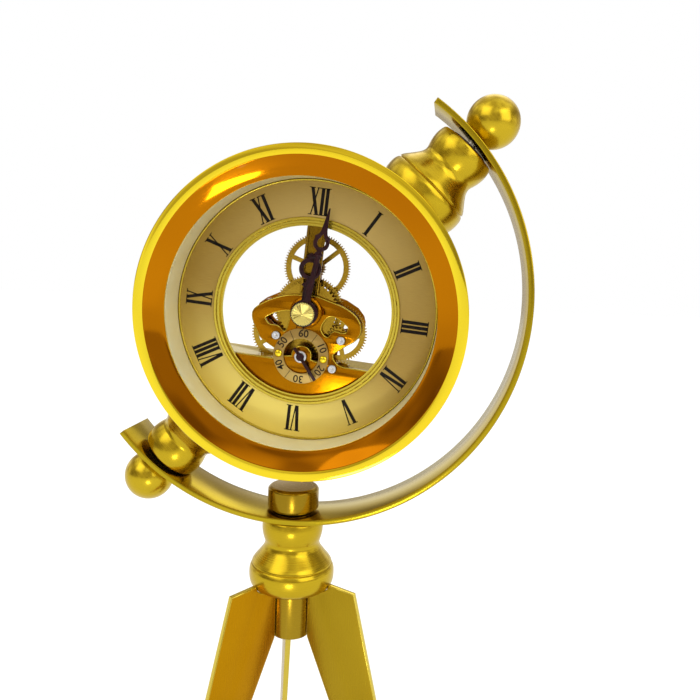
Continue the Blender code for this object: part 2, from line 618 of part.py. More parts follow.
def build_case(head):
    """Drum, bezel, front glass, reflector, dial ring and its inner rim."""
    drum = turned("case_drum", [
        (CASE_RADIUS, CASE_FRONT), (CASE_RADIUS, CASE_BACK), (CASE_INNER, CASE_BACK),
        (CASE_INNER, SHOULDER), (CASE_BORE, SHOULDER), (CASE_BORE, CASE_FRONT),
    ], SATIN_BRASS, head)
    through = Matrix.Rotation(DIAL_TRUNNION, 4, "Z") @ Matrix.Rotation(pi / 2, 4, "Y")
    reach = CASE_RADIUS + OVERRUN
    drill(drum, "tenon_hole", TENON_RADIUS + GAP, -reach, reach, head, through)
    back = CASE_FRONT + GAP
    spigot = CASE_BORE - GAP
    rim_inner = BEZEL_RADIUS - BEZEL_RIM
    lip_top = BEZEL_FRONT - BEZEL_LIP
    cove_width = rim_inner - BEZEL_OPENING - BEZEL_LIP
    seat = BEZEL_FRONT - GLASS_SETBACK
    turned("bezel_ring", [
        (rim_inner, BEZEL_FRONT), (BEZEL_RADIUS - BEZEL_ROUND, BEZEL_FRONT),
        (BEZEL_RADIUS, BEZEL_FRONT - BEZEL_ROUND), (BEZEL_RADIUS, back + BEZEL_BACK_SLOPE),
        (BEZEL_RADIUS - BEZEL_BACK_SLOPE, back), (spigot, back),
        (spigot, back - SPIGOT_DEPTH), (BEZEL_BORE, back - SPIGOT_DEPTH), (BEZEL_BORE, seat),
        (BEZEL_OPENING, seat), (BEZEL_OPENING, lip_top), (BEZEL_OPENING + BEZEL_LIP, lip_top),
        (BEZEL_OPENING + BEZEL_LIP + cove_width / 3, BEZEL_FRONT - BEZEL_COVE_DEPTH),
        (rim_inner - cove_width / 3, BEZEL_FRONT - BEZEL_COVE_DEPTH),
    ], POLISHED_GOLD, head)
    glass_radius = BEZEL_BORE - GAP
    glass_back = GLASS_FRONT - GLASS_THICKNESS
    rod("front_glass", glass_radius, glass_back, GLASS_FRONT, GLASS, head, None, RING_STEPS)
    ring("reflector_ring", glass_radius, glass_radius - REFLECTOR_WALL, DIAL_FRONT + GAP,
         glass_back - GAP, CREAM, head)
    dial_back = DIAL_FRONT - DIAL_THICKNESS
    ring("chapter_ring", CASE_BORE - GAP, DIAL_OPENING, dial_back, DIAL_FRONT, CHAMPAGNE, head)
    groove = DIAL_OPENING - GAP
    turned("dial_inner_rim", [
        (RIM_RADIUS, DIAL_FRONT + GAP + RIM_PROUD), (RIM_RADIUS, DIAL_FRONT + GAP),
        (groove, DIAL_FRONT + GAP), (groove, PLATE_FRONT + GAP), (groove - RIM_STEP * 2, PLATE_FRONT + GAP),
        (groove - RIM_STEP * 2, DIAL_FRONT - RIM_DROP), (groove - RIM_STEP, DIAL_FRONT - RIM_DROP),
        (groove - RIM_STEP, DIAL_FRONT + GAP + RIM_PROUD),
    ], POLISHED_GOLD, head)


def segment_outline(radius, chord, steps):
    """Lower segment of a circle under a level chord, anticlockwise from its left corner."""
    start = atan2(chord, -sqrt(radius ** 2 - chord ** 2))
    end = atan2(chord, sqrt(radius ** 2 - chord ** 2))
    return arc(radius, start, end, steps)


def build_plates(head):
    """Front and rear plates, pillars, bush and rivets, top bridge and the segment housing."""
    mask = scaled(MASK_SHARES, MASK_HALF_WIDTH)
    mask_right = scaled(MASK_RIGHT_SHARES, MASK_HALF_WIDTH)
    neck_left, neck_right = mask[-1][0], mask_right[0][0]
    segment = segment_outline(HOUSING_RADIUS, SEGMENT_CHORD, RING_STEPS // 2)
    start, end = SECONDS_WINDOW_START, SECONDS_WINDOW_END
    seconds_window = arc(SECONDS_WINDOW_RADIUS, start, end, SMALL_STEPS, SECONDS_PLACE)
    seconds_window += arc(SECONDS_BOSS_RADIUS, end, start, SMALL_STEPS, SECONDS_PLACE)
    windows = [scaled(shares, MASK_HALF_WIDTH) for shares in (LEFT_WINDOW_SHARES, RIGHT_WINDOW_SHARES)]
    holes = [circle(HOUR_PIPE_RADIUS + GAP, SMALL_STEPS)]
    holes.append(circle(ARBOR_RADIUS + GAP, SMALL_STEPS, SECONDS_PLACE))
    holes += [circle(DIAL_SCREW_SHANK + GAP, SMALL_STEPS, place) for place in dial_screw_places()]
    holes += [circle(RIVET_RADIUS / 2 + GAP, SMALL_STEPS, place) for place in rivet_places().values()]
    fillet = scaled(NECK_FILLET_SHARES, MASK_HALF_WIDTH)
    border = mask + [(neck_left, SEGMENT_CHORD)] + segment + fillet + mask_right
    outlines = [border, seconds_window] + windows + holes
    flat("front_plate", outlines, PLATE_BACK, PLATE_FRONT, WARM_GOLD, head)
    boss_low = PLATE_FRONT + GAP
    boss_high = boss_low + BOSS_HEIGHT
    turned("centre_boss", [
        (BOSS_RADIUS - BOSS_CHAMFER, boss_high), (BOSS_RADIUS, boss_high - BOSS_CHAMFER),
        (BOSS_RADIUS, boss_low), (HOUR_PIPE_RADIUS + GAP, boss_low), (HOUR_PIPE_RADIUS + GAP, boss_high),
    ], WARM_GOLD, head, None, TURNED_STEPS)
    foot_bottom = PLATE_FOOT_TOP - PLATE_FOOT_DEPTH
    foot = [
        (neck_left, PLATE_FOOT_TOP), (-PLATE_FOOT_REACH, PLATE_FOOT_TOP), (-PLATE_FOOT_REACH, foot_bottom),
        (PLATE_FOOT_REACH, foot_bottom), (PLATE_FOOT_REACH, PLATE_FOOT_TOP), (neck_right, PLATE_FOOT_TOP),
    ]
    rear_left, rear_right = [
        [(x * REAR_PLATE_GROWTH, y * REAR_PLATE_GROWTH + REAR_PLATE_RISE) for x, y in edge]
        for edge in (mask, mask_right)
    ]
    tongue = BRIDGE_WIDTH / 4
    tongue_top = UPPER_PLACE[1] + PILLAR_RADIUS
    flat("rear_plate", [
        [(-tongue, tongue_top)] + rear_left + foot + rear_right + [(tongue, tongue_top)],
        circle(SETTING_ARBOR_RADIUS + GAP, SMALL_STEPS, SETTING_PLACE),
    ] + windows, REAR_PLATE_BACK, REAR_PLATE_FRONT, WARM_GOLD, head)
    for name, (x, y) in PILLAR_SHARES.items():
        place = Matrix.Translation((x * MASK_HALF_WIDTH, y * MASK_HALF_WIDTH, 0))
        rod(name, PILLAR_RADIUS, REAR_PLATE_FRONT + GAP, PLATE_BACK - GAP, WARM_GOLD, head, place)
    for name, (x, y) in rivet_places().items():
        top = PLATE_FRONT + GAP + RIVET_HEAD
        turned(name, [
            (0, top), (RIVET_RADIUS - RIVET_HEAD / 2, top), (RIVET_RADIUS, top - RIVET_HEAD / 2),
            (RIVET_RADIUS, PLATE_FRONT + GAP), (RIVET_RADIUS / 2, PLATE_FRONT + GAP),
            (RIVET_RADIUS / 2, PLATE_BACK), (0, PLATE_BACK),
        ], STEEL, head, Matrix.Translation((x, y, 0)), SMALL_STEPS)
    half = BRIDGE_WIDTH / 2
    web = PLATE_BACK + BRIDGE_SHEET
    channel = [
        (-half, PLATE_BACK), (half, PLATE_BACK), (half, PLATE_FRONT), (half - BRIDGE_FLANGE, PLATE_FRONT),
        (half - BRIDGE_FLANGE, web), (BRIDGE_FLANGE - half, web),
        (BRIDGE_FLANGE - half, PLATE_FRONT), (-half, PLATE_FRONT),
    ]
    top = sqrt(HOUSING_RADIUS ** 2 - half ** 2)
    flat("top_bridge", [channel], -top, -BRIDGE_FOOT, WARM_GOLD, head, Matrix.Rotation(pi / 2, 4, "X"))
    build_housing(head, segment, neck_right)


def build_housing(head, segment, neck_right):
    """Closed wall round the lower segment, slotted for the rear plate and the wheels that dip in."""
    cavity = segment_outline(HOUSING_RADIUS - HOUSING_WALL, WALL_UNDERSIDE, RING_STEPS // 2)
    housing = flat("segment_housing", [segment, cavity], HOUSING_BACK, PLATE_BACK - GAP, WARM_GOLD, head)
    third_reach = THIRD_TEETH * THIRD_MODULE / 2 + THIRD_MODULE + GAP
    third_left = THIRD_PLACE[0] - sqrt(third_reach ** 2 - (SEGMENT_CHORD - THIRD_PLACE[1]) ** 2)
    idler_reach = IDLER_TEETH * MOTION_MODULE / 2 + MOTION_MODULE + GAP
    low = WALL_UNDERSIDE - OVERRUN
    high = SEGMENT_CHORD + OVERRUN
    for name, left, right, back, front in (
        ("train_slot", third_left, neck_right + GAP, REAR_PLATE_BACK - GAP, level(3)[1] + GAP),
        ("idler_slot", IDLER_PLACE[0] - idler_reach, IDLER_PLACE[0] + idler_reach,
         level(1)[0] - GAP, level(1)[1] + GAP),
    ):
        combine(housing, "DIFFERENCE", block(name, (left, low, back), (right, high, front), None, head))


def scaled(shares, size):
    """Points from shares of one size."""
    return [(x * size, y * size) for x, y in shares]


def dial_screw_places():
    """Where the two screws hold the seconds dial, at fifteen and forty-five."""
    middle = (SECONDS_DIAL_RADIUS + SECONDS_DIAL_OPENING) / 2
    return [(side * middle, -SECONDS_DROP) for side in (-1, 1)]


def rivet_places():
    """Third wheel bush and two plate rivets."""
    places = {"third_wheel_bush": THIRD_PLACE}
    for name, (x, y) in RIVET_SHARES.items():
        places[name] = (x * MASK_HALF_WIDTH, y * MASK_HALF_WIDTH)
    return places


def build_back(head, door_hinge):
    """Rear cover with its D-shaped window, rear glass, battery door, cradle, cell and contacts."""
    start = atan2(REAR_CHORD, sqrt(REAR_OPENING ** 2 - REAR_CHORD ** 2))
    window = arc(REAR_OPENING, start, pi - start, RING_STEPS // 2)
    half_length = CELL_LENGTH / 2 + CONTACT_THICKNESS + 2 * GAP
    reach = CELL_RADIUS + CRADLE_SLACK
    low = -CELL_DROP - reach - CRADLE_WALL
    high = -CELL_DROP + reach + CRADLE_WALL
    left = CELL_SHIFT - half_length
    right = CELL_SHIFT + half_length
    hole = [(left, low + CRADLE_WALL), (right, low + CRADLE_WALL),
            (right, high - CRADLE_WALL), (left, high - CRADLE_WALL)]
    flat("rear_cover", [
        circle(CASE_RADIUS, RING_STEPS), window, hole,
        circle(SETTING_ARBOR_RADIUS + GAP, SMALL_STEPS, SETTING_PLACE),
    ], COVER_BACK, COVER_FRONT, SATIN_BRASS, head)
    glass_radius = REAR_OPENING + REAR_GLASS_LAP
    glass_low = REAR_CHORD - REAR_GLASS_LAP
    start = atan2(glass_low, sqrt(glass_radius ** 2 - glass_low ** 2))
    flat("rear_glass", [arc(glass_radius, start, pi - start, RING_STEPS // 2)],
         CASE_BACK, CASE_BACK + GLASS_THICKNESS, GLASS, head)
    cradle_front = CELL_DEPTH + reach + CRADLE_WALL
    cradle = block("cell_cradle", (left - CRADLE_WALL, low, CASE_BACK),
                   (right + CRADLE_WALL, high, cradle_front), BLACK, head)
    combine(cradle, "DIFFERENCE", block(
        "cell_bay", (left, low + CRADLE_WALL, CASE_BACK - OVERRUN),
        (right, high - CRADLE_WALL, cradle_front - CRADLE_WALL), None, head))
    along = Matrix.Translation((CELL_SHIFT, -CELL_DROP, CELL_DEPTH)) @ Matrix.Rotation(pi / 2, 4, "Y")
    half = CELL_LENGTH / 2
    turned("cell", [
        (0, half), (CELL_NUB_RADIUS, half), (CELL_NUB_RADIUS, half - CELL_NUB_LENGTH),
        (CELL_RADIUS, half - CELL_NUB_LENGTH), (CELL_RADIUS, -half), (0, -half),
    ], CELL_JACKET, head, along, TURNED_STEPS)
    plate = CELL_RADIUS - GAP
    for name, sign in (("positive_contact", 1), ("negative_contact", -1)):
        inner = sign * (half + GAP)
        ends = sorted((CELL_SHIFT + inner, CELL_SHIFT + inner + sign * CONTACT_THICKNESS))
        block(name, (ends[0], -CELL_DROP - plate, CELL_DEPTH - plate),
              (ends[1], -CELL_DROP + plate, CELL_DEPTH + plate), STEEL, head)
    hinge_y = low + CRADLE_WALL + GAP + DOOR_HINGE_INSET
    door_hinge.matrix_local = Matrix.Translation((CELL_SHIFT, hinge_y, COVER_BACK))
    block("battery_door", (-half_length + GAP, -DOOR_HINGE_INSET, 0),
          (half_length - GAP, high - CRADLE_WALL - GAP - hinge_y, DOOR_THICKNESS), SATIN_BRASS, door_hinge)


def build_motor(head):
    """Circuit board behind the front plate, with the coil and the stator plate of the stepping motor."""
    front = PLATE_BACK - GAP
    back = front - BOARD_THICKNESS
    half = BOARD_WIDTH / 2
    block("circuit_board", (BOARD_SHIFT - half, -BOARD_DROP - BOARD_HEIGHT, back),
          (BOARD_SHIFT + half, -BOARD_DROP, front), BOARD_GREEN, head)
    coil_y = -BOARD_DROP - COIL_RADIUS
    coil_place = Matrix.Translation((BOARD_SHIFT, coil_y, back - GAP - COIL_RADIUS))
    along = coil_place @ Matrix.Rotation(pi / 2, 4, "Y")
    half = COIL_LENGTH / 2
    core = half + STATOR_THICKNESS
    turned("motor_coil", [
        (0, core), (COIL_CORE_RADIUS, core), (COIL_CORE_RADIUS, half), (COIL_RADIUS, half),
        (COIL_RADIUS, -half), (COIL_CORE_RADIUS, -half), (COIL_CORE_RADIUS, -core), (0, -core),
    ], COPPER, head, along, SMALL_STEPS)
    top = coil_y - COIL_RADIUS - GAP
    block("motor_stator", (BOARD_SHIFT - half, top - STATOR_SIZE, back - GAP - STATOR_THICKNESS),
          (BOARD_SHIFT + half, top, back - GAP), STEEL, head)


def toothed(teeth, module, phase=0.0):
    """Outline of a toothed wheel with pointed teeth, one of them at the phase angle."""
    radius = teeth * module / 2
    root = radius - DEDENDUM_SHARE * module
    tip = radius + ADDENDUM_SHARE * module
    pitch = tau / teeth
    outline = []
    for k in range(teeth):
        middle = phase + k * pitch
        outline += [on_circle(tip, middle), on_circle(root, middle + pitch / 2)]
    return outline


def crossings(radius, spokes, turn):
    """Windows between the spokes of a wheel, one spoke at the turn."""
    outer = radius - CROSSING_RIM
    windows = []
    for k in range(spokes):
        start = turn + tau * k / spokes
        end = start + tau / spokes
        trim_out = SPOKE_WIDTH / 2 / outer
        trim_in = SPOKE_WIDTH / 2 / CROSSING_HUB
        windows.append(arc(outer, start + trim_out, end - trim_out, CROSSING_ARC_STEPS // spokes)
                       + arc(CROSSING_HUB, end - trim_in, start + trim_in, 1))
    return windows


def meshing_phase(centre_a, teeth_a, phase_a, centre_b, teeth_b):
    """Phase of wheel b whose gap faces the tooth of wheel a on their line of centres."""
    line = atan2(centre_b[1] - centre_a[1], centre_b[0] - centre_a[0])
    share = (line - phase_a) * teeth_a / tau
    return line + pi + (share + 0.5) * tau / teeth_b


def wheel(name, teeth, index, phase, dress, arbor, module=MODULE, spokes=0, turn=0.0):
    """Wheel plate at one level, turning about its own empty."""
    low, high = level(index)
    outlines = [toothed(teeth, module, phase)]
    if spokes:
        outlines += crossings(teeth * module / 2, spokes, turn)
    return flat(name, outlines, low, high, dress, arbor)


def add_pinion(body, teeth, index, phase, arbor, reach=None, module=MODULE):
    """Pinion joined to a wheel, over the level it drives and on to the wheel's own face."""
    low, high = level(index)
    low -= PINION_MARGIN
    high += PINION_MARGIN
    if reach is not None:
        low = min(low, reach)
        high = max(high, reach)
    return combine(body, "UNION", flat(body.name + "_pinion", [toothed(teeth, module, phase)], low, high,
                                       None, arbor))


def add_arbor(body, radius, low, high, arbor):
    """Shaft joined to a wheel."""
    return combine(body, "UNION", rod(body.name + "_arbor", radius, low, high, None, arbor))


def arbor_empty(name, place, head):
    """Empty on the axis of an arbor."""
    return frame_empty(name, head, Matrix.Translation((*place, 0)))


def build_wheels(head):
    """Going train, motion work, ornamental upper wheel and setting work, each on its own axis."""
    minute_axis = arbor_empty("minute_axis", (0, 0), head)
    hour_axis = arbor_empty("hour_axis", (0, 0), head)
    third_axis = arbor_empty("third_axis", THIRD_PLACE, head)
    seconds_axis = arbor_empty("seconds_axis", SECONDS_PLACE, head)
    motion_axis = arbor_empty("motion_axis", MINUTE_PLACE, head)
    upper_axis = arbor_empty("upper_axis", UPPER_PLACE, head)
    idler_axis = arbor_empty("idler_axis", IDLER_PLACE, head)
    setting_axis = arbor_empty("setting_axis", SETTING_PLACE, head)
    foot = REAR_PLATE_FRONT + GAP
    roof = PLATE_BACK - GAP

    centre = wheel("centre_wheel", CENTRE_TEETH, 2, 0, WHEEL_GOLD, minute_axis, MODULE, SPOKE_COUNT)
    add_pinion(centre, CANNON_TEETH, 1, 0, minute_axis, level(2)[1] - FUSE_DEPTH, MOTION_MODULE)
    nut_back = MINUTE_HAND_BACK + HAND_THICKNESS + GAP
    nut_bore = nut_back + HAND_NUT_HEIGHT - HAND_NUT_CROWN
    add_arbor(centre, CENTRE_ARBOR_RADIUS, foot, nut_bore - GAP, minute_axis)

    third_phase = meshing_phase((0, 0), CENTRE_TEETH, 0, THIRD_PLACE, THIRD_PINION)
    third = wheel("third_wheel", THIRD_TEETH, 3, 0, WHEEL_GOLD, third_axis, THIRD_MODULE, SPOKE_COUNT)
    add_pinion(third, THIRD_PINION, 2, third_phase, third_axis, level(3)[1] - FUSE_DEPTH)
    add_arbor(third, ARBOR_RADIUS, foot, roof, third_axis)

    fourth_phase = meshing_phase(THIRD_PLACE, THIRD_TEETH, 0, SECONDS_PLACE, FOURTH_PINION)
    fourth = wheel("fourth_wheel", FOURTH_TEETH, 4, 0, WHEEL_GOLD, seconds_axis)
    add_pinion(fourth, FOURTH_PINION, 3, fourth_phase, seconds_axis, level(4)[1] - FUSE_DEPTH, THIRD_MODULE)
    add_arbor(fourth, ARBOR_RADIUS, foot, SECONDS_HAND_BACK + HAND_THICKNESS - GAP, seconds_axis)

    upper_phase = meshing_phase((0, 0), CENTRE_TEETH, 0, UPPER_PLACE, UPPER_PINION)
    upper = wheel("upper_wheel", UPPER_TEETH, 3, 0, WHEEL_GOLD, upper_axis, MODULE, UPPER_SPOKES,
                  UPPER_SPOKE_TURN)
    add_pinion(upper, UPPER_PINION, 2, upper_phase, upper_axis, level(3)[1] - FUSE_DEPTH)
    add_arbor(upper, ARBOR_RADIUS, foot, roof, upper_axis)

    minute_phase = meshing_phase((0, 0), CANNON_TEETH, 0, MINUTE_PLACE, MINUTE_TEETH)
    minute = wheel("minute_wheel", MINUTE_TEETH, 1, minute_phase, WHEEL_GOLD, motion_axis, MOTION_MODULE,
                   SPOKE_COUNT)
    add_pinion(minute, MINUTE_PINION, 0, 0, motion_axis, level(1)[1] - FUSE_DEPTH, HOUR_MODULE)
    add_arbor(minute, ARBOR_RADIUS, level(1)[0] - WHEEL_SPACE / 2, roof, motion_axis)

    hour_phase = meshing_phase(MINUTE_PLACE, MINUTE_PINION, 0, (0, 0), HOUR_TEETH)
    hour = wheel("hour_wheel", HOUR_TEETH, 0, hour_phase, WHEEL_GOLD, hour_axis, HOUR_MODULE)
    add_arbor(hour, HOUR_PIPE_RADIUS, level(0)[1] - FUSE_DEPTH, HOUR_HAND_BACK + HAND_THICKNESS, hour_axis)
    drill(hour, "hour_pipe_bore", HOUR_PIPE_BORE, level(0)[0] - OVERRUN, MINUTE_HAND_BACK, hour_axis)

    idler_phase = meshing_phase(MINUTE_PLACE, MINUTE_TEETH, minute_phase, IDLER_PLACE, IDLER_TEETH)
    idler = wheel("setting_idler", IDLER_TEETH, 1, idler_phase, WHEEL_GOLD, idler_axis, MOTION_MODULE)
    add_arbor(idler, ARBOR_RADIUS, foot, roof, idler_axis)

    setting_phase = meshing_phase(IDLER_PLACE, IDLER_TEETH, idler_phase, SETTING_PLACE, SETTING_TEETH)
    setting = wheel("setting_wheel", SETTING_TEETH, 1, setting_phase, WHEEL_GOLD, setting_axis,
                    MOTION_MODULE)
    knob_top = COVER_BACK - GAP
    knob_floor = knob_top - KNOB_HEIGHT
    bore_floor = knob_floor + KNOB_FLOOR
    add_arbor(setting, SETTING_ARBOR_RADIUS, bore_floor + GAP, roof, setting_axis)
    flutes = []
    for k in range(KNOB_FLUTES * 2):
        radius = KNOB_RADIUS - (KNOB_FLUTE_DEPTH if k % 2 else 0)
        flutes.append(on_circle(radius, tau * k / (KNOB_FLUTES * 2)))
    knob = flat("setting_knob", [flutes], knob_floor, knob_top, BLACK, setting_axis)
    drill(knob, "knob_bore", SETTING_ARBOR_RADIUS + GAP, bore_floor, knob_top + OVERRUN, setting_axis)
    return minute_axis, hour_axis, seconds_axis


def turn_outline(outline, angle):
    """Turn points clockwise about the hand's own axis."""
    return [(x * cos(angle) + y * sin(angle), y * cos(angle) - x * sin(angle)) for x, y in outline]


def hand_outline(shares, length):
    """Outline of a hand that points to twelve: round hub, right edge up to the tip, left edge back."""
    edge = scaled(shares, length)
    opening = asin(edge[0][0] / HAND_HUB_RADIUS)
    outline = arc(HAND_HUB_RADIUS, pi / 2 + opening, pi / 2 + tau - opening, SMALL_STEPS)
    return outline + edge + [(-x, y) for x, y in reversed(edge) if x > 0]


def build_hands(minute_axis, hour_axis, seconds_axis):
    """Hour hand with its moon ring, minute hand with its loop, seconds hand and the hand nut."""
    for name, shares, loop_shares, length, bore, back, angle, axis in (
        ("hour_hand", HOUR_HAND_SHARES, HOUR_LOOP_SHARES, HOUR_HAND_LENGTH, HOUR_PIPE_RADIUS + GAP,
         HOUR_HAND_BACK, HOUR_ANGLE, hour_axis),
        ("minute_hand", MINUTE_HAND_SHARES, MINUTE_LOOP_SHARES, MINUTE_HAND_LENGTH, HOUR_PIPE_BORE,
         MINUTE_HAND_BACK, MINUTE_ANGLE, minute_axis),
    ):
        loop_place, loop_radius = [share * length for share in loop_shares]
        outlines = [hand_outline(shares, length), circle(bore, SMALL_STEPS),
                    circle(loop_radius, SMALL_STEPS, (0, loop_place))]
        flat(name, [turn_outline(outline, angle) for outline in outlines], back, back + HAND_THICKNESS,
             DARK_HAND, axis)

    nut_back = MINUTE_HAND_BACK + HAND_THICKNESS + GAP
    nut_front = nut_back + HAND_NUT_HEIGHT
    nut_bore = nut_front - HAND_NUT_CROWN
    turned("hand_nut", [
        (0, nut_front), (HAND_NUT_RADIUS, nut_back + HAND_NUT_CROWN), (HAND_NUT_RADIUS, nut_back),
        (CENTRE_ARBOR_RADIUS + GAP, nut_back), (CENTRE_ARBOR_RADIUS + GAP, nut_bore), (0, nut_bore),
    ], POLISHED_GOLD, minute_axis, None, TURNED_STEPS)

    baton = SECONDS_CAP_RADIUS / 2
    outline = [(-baton, -SECONDS_TAIL), (baton, -SECONDS_TAIL), (baton, SECONDS_HAND_LENGTH),
               (-baton, SECONDS_HAND_LENGTH)]
    outline = turn_outline(outline, SECONDS_ANGLE)
    cap_top = SECONDS_HAND_BACK + SECONDS_CAP_HEIGHT
    hand_top = SECONDS_HAND_BACK + HAND_THICKNESS
    hand = flat("seconds_hand", [outline], SECONDS_HAND_BACK, hand_top, DARK_HAND, seconds_axis)
    cap = rod("seconds_cap", SECONDS_CAP_RADIUS, SECONDS_HAND_BACK - FUSE_DEPTH, cap_top, None, seconds_axis)
    combine(hand, "UNION", cap)
    drill(hand, "seconds_bore", ARBOR_RADIUS + GAP, SECONDS_HAND_BACK - OVERRUN, hand_top, seconds_axis)


def build_seconds_dial(head):
    """Ring dial for the seconds, held by two domed screws."""
    low = PLATE_FRONT + GAP
    high = low + SECONDS_DIAL_THICKNESS
    outlines = [circle(SECONDS_DIAL_RADIUS, RING_STEPS, SECONDS_PLACE),
                circle(SECONDS_DIAL_OPENING, RING_STEPS, SECONDS_PLACE)]
    outlines += [circle(DIAL_SCREW_SHANK + GAP, SMALL_STEPS, place) for place in dial_screw_places()]
    flat("seconds_dial", outlines, low, high, CHAMPAGNE, head)
    for name, (x, y) in zip(("seconds_dial_screw_left", "seconds_dial_screw_right"), dial_screw_places()):
        seat = high + GAP
        dome = [(radius * DIAL_SCREW_RADIUS, seat + rise * DIAL_SCREW_DOME) for radius, rise in DOME_SHARES]
        turned(name, dome + [
            (DIAL_SCREW_SHANK, seat), (DIAL_SCREW_SHANK, PLATE_BACK), (0, PLATE_BACK),
        ], POLISHED_GOLD, head, Matrix.Translation((x, y, 0)), SMALL_STEPS)


def centre_on_floor(root):
    """Move the whole clock so that the middle of its box stands over the origin."""
    graph = bpy.context.evaluated_depsgraph_get()
    corners = []
    for thing in parts.objects:
        if thing.type == "MESH":
            seen = thing.evaluated_get(graph)
            corners += [thing.matrix_world @ vertex.co for vertex in seen.data.vertices]
    for axis in (0, 1):
        values = [corner[axis] for corner in corners]
        root.location[axis] -= (min(values) + max(values)) / 2


def main():
    """Build the stand, the head and everything that turns in it."""
    root = frame_empty("clock")
    stand = frame_empty("stand", root)
    along = Matrix.Translation(HEAD_CENTRE) @ Matrix.Rotation(pi / 2 - TRUNNION_TILT, 4, "Y")
    trunnion = frame_empty("trunnion", root, along)
    facing = Matrix.Rotation(pi / 2, 4, "X") @ Matrix.Rotation(TRUNNION_TILT - DIAL_TRUNNION, 4, "Z")
    pitched = Matrix.Rotation(HEAD_PITCH, 4, TRUNNION)
    head = frame_empty("head", root, Matrix.Translation(HEAD_CENTRE) @ pitched @ facing)
    build_tripod(stand)
    arm = build_arm(stand)
    build_trunnions(stand, trunnion, arm, head)
    build_case(head)
    build_plates(head)
    build_back(head, frame_empty("door_hinge", head))
    build_motor(head)
    build_hands(*build_wheels(head))
    build_seconds_dial(head)
    centre_on_floor(root)


main()
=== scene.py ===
"""Looks of the skeleton clock: every visible surface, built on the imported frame."""
import json
import logging
from dataclasses import dataclass, replace
from enum import Enum
from math import acos, asin, atan2, cos, hypot, pi, radians, sin, sqrt, tau

import bmesh
import bpy
from mathutils import Matrix, Vector


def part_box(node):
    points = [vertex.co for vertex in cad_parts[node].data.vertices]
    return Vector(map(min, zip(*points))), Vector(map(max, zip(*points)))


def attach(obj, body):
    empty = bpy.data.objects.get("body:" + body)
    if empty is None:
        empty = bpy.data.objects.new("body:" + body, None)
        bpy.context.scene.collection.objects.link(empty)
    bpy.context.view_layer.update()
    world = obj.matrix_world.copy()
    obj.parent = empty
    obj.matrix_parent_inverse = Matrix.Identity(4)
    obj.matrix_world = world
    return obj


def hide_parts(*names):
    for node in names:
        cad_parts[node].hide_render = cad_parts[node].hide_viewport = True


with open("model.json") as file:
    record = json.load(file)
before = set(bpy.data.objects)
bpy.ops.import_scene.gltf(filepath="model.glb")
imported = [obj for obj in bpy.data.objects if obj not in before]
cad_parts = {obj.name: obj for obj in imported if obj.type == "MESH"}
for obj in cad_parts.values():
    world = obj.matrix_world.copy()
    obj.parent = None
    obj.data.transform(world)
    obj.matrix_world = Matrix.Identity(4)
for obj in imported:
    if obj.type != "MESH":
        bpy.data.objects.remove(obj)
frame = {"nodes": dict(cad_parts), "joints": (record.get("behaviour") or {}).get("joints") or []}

LOG = logging.getLogger("skeleton_clock")
MM = 0.001
GAP = 0.3 * MM
TINY = 0.001 * MM
WHITE = (1.0, 1.0, 1.0, 1.0)
FULL_ROUND_STEPS = 240
ROUND_STEPS = 144
SMALL_ROUND_STEPS = 48
CREASE = radians(32)
PLATE_CREASE = radians(50)
FLAT = radians(1)
NOISE_REACH = (0.3, 0.7)
SHARP_EDGE_REACH = (0.54, 0.66)
TIP_SHARE = 0.09
ROOT_START = 0.30
ROOT_SHARE = 0.40
WINDOW_STEPS = 12
THIN_EDGE = 0.1 * MM
FINE_EDGE = 0.15 * MM
CUT_EDGE = 0.2 * MM
SOFT_EDGE = 0.3 * MM

DIAL_SCREWS = ("seconds_dial_screw_left", "seconds_dial_screw_right")

Point = tuple[float, float]
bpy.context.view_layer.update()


class Grain(Enum):
    """How the fine marks of a finish lie on a piece."""
    TURNED = "round the piece's axis"
    ACROSS = "along the piece's own x"
    LENGTHWISE = "along the piece's own y"
    RADIAL = "outwards from the piece's axis"
    CLOUDY = "in no direction"


@dataclass(frozen=True)
class Axes:
    """Right-handed axes of a piece at rest, in the row frame."""
    origin: Vector
    x: Vector
    y: Vector
    z: Vector

    def matrix(self) -> Matrix:
        """Transform from these axes to the row frame."""
        turn = Matrix((self.x, self.y, self.z)).transposed().to_4x4()
        return Matrix.Translation(self.origin) @ turn

    def moved(self, place: Point, height: float = 0.0) -> "Axes":
        """The same directions from a place on the XY plane."""
        return replace(self, origin=self.matrix() @ Vector((*place, height)))

    def flipped(self) -> "Axes":
        """Half a turn about x, so that z points the other way."""
        return Axes(self.origin, self.x, -self.y, -self.z)

    def turned(self, angle: float) -> "Axes":
        """The same origin and z, turned anticlockwise about z."""
        across = self.x * cos(angle) + self.y * sin(angle)
        return Axes(self.origin, across, self.z.cross(across), self.z)


@dataclass(frozen=True)
class Extent:
    """How far a CAD node reaches along an axis, and its outer and inner radius about it."""
    low: float
    high: float
    outer: float
    inner: float

    def ring(self) -> list[Point]:
        """Section of a plain ring."""
        return [(self.outer, self.high), (self.outer, self.low), (self.inner, self.low), (self.inner, self.high)]

    def rod(self) -> list[Point]:
        """Section of a plain disc or rod."""
        return [(0, self.high), (self.outer, self.high), (self.outer, self.low), (0, self.low)]


def joint(name: str) -> dict:
    """The record's joint of this name."""
    return next(row for row in frame["joints"] if row["name"] == name)


def dial_axes() -> Axes:
    """Axes of the head: x to three, y to twelve, z out of the dial, from the trunnion line."""
    out = -Vector(joint("minute_turn")["axis"]).normalized()
    across = -Vector(joint("door_hinge")["axis"]).normalized()
    return Axes(Vector(joint("minute_turn")["pos_m"]), across, out.cross(across), out)


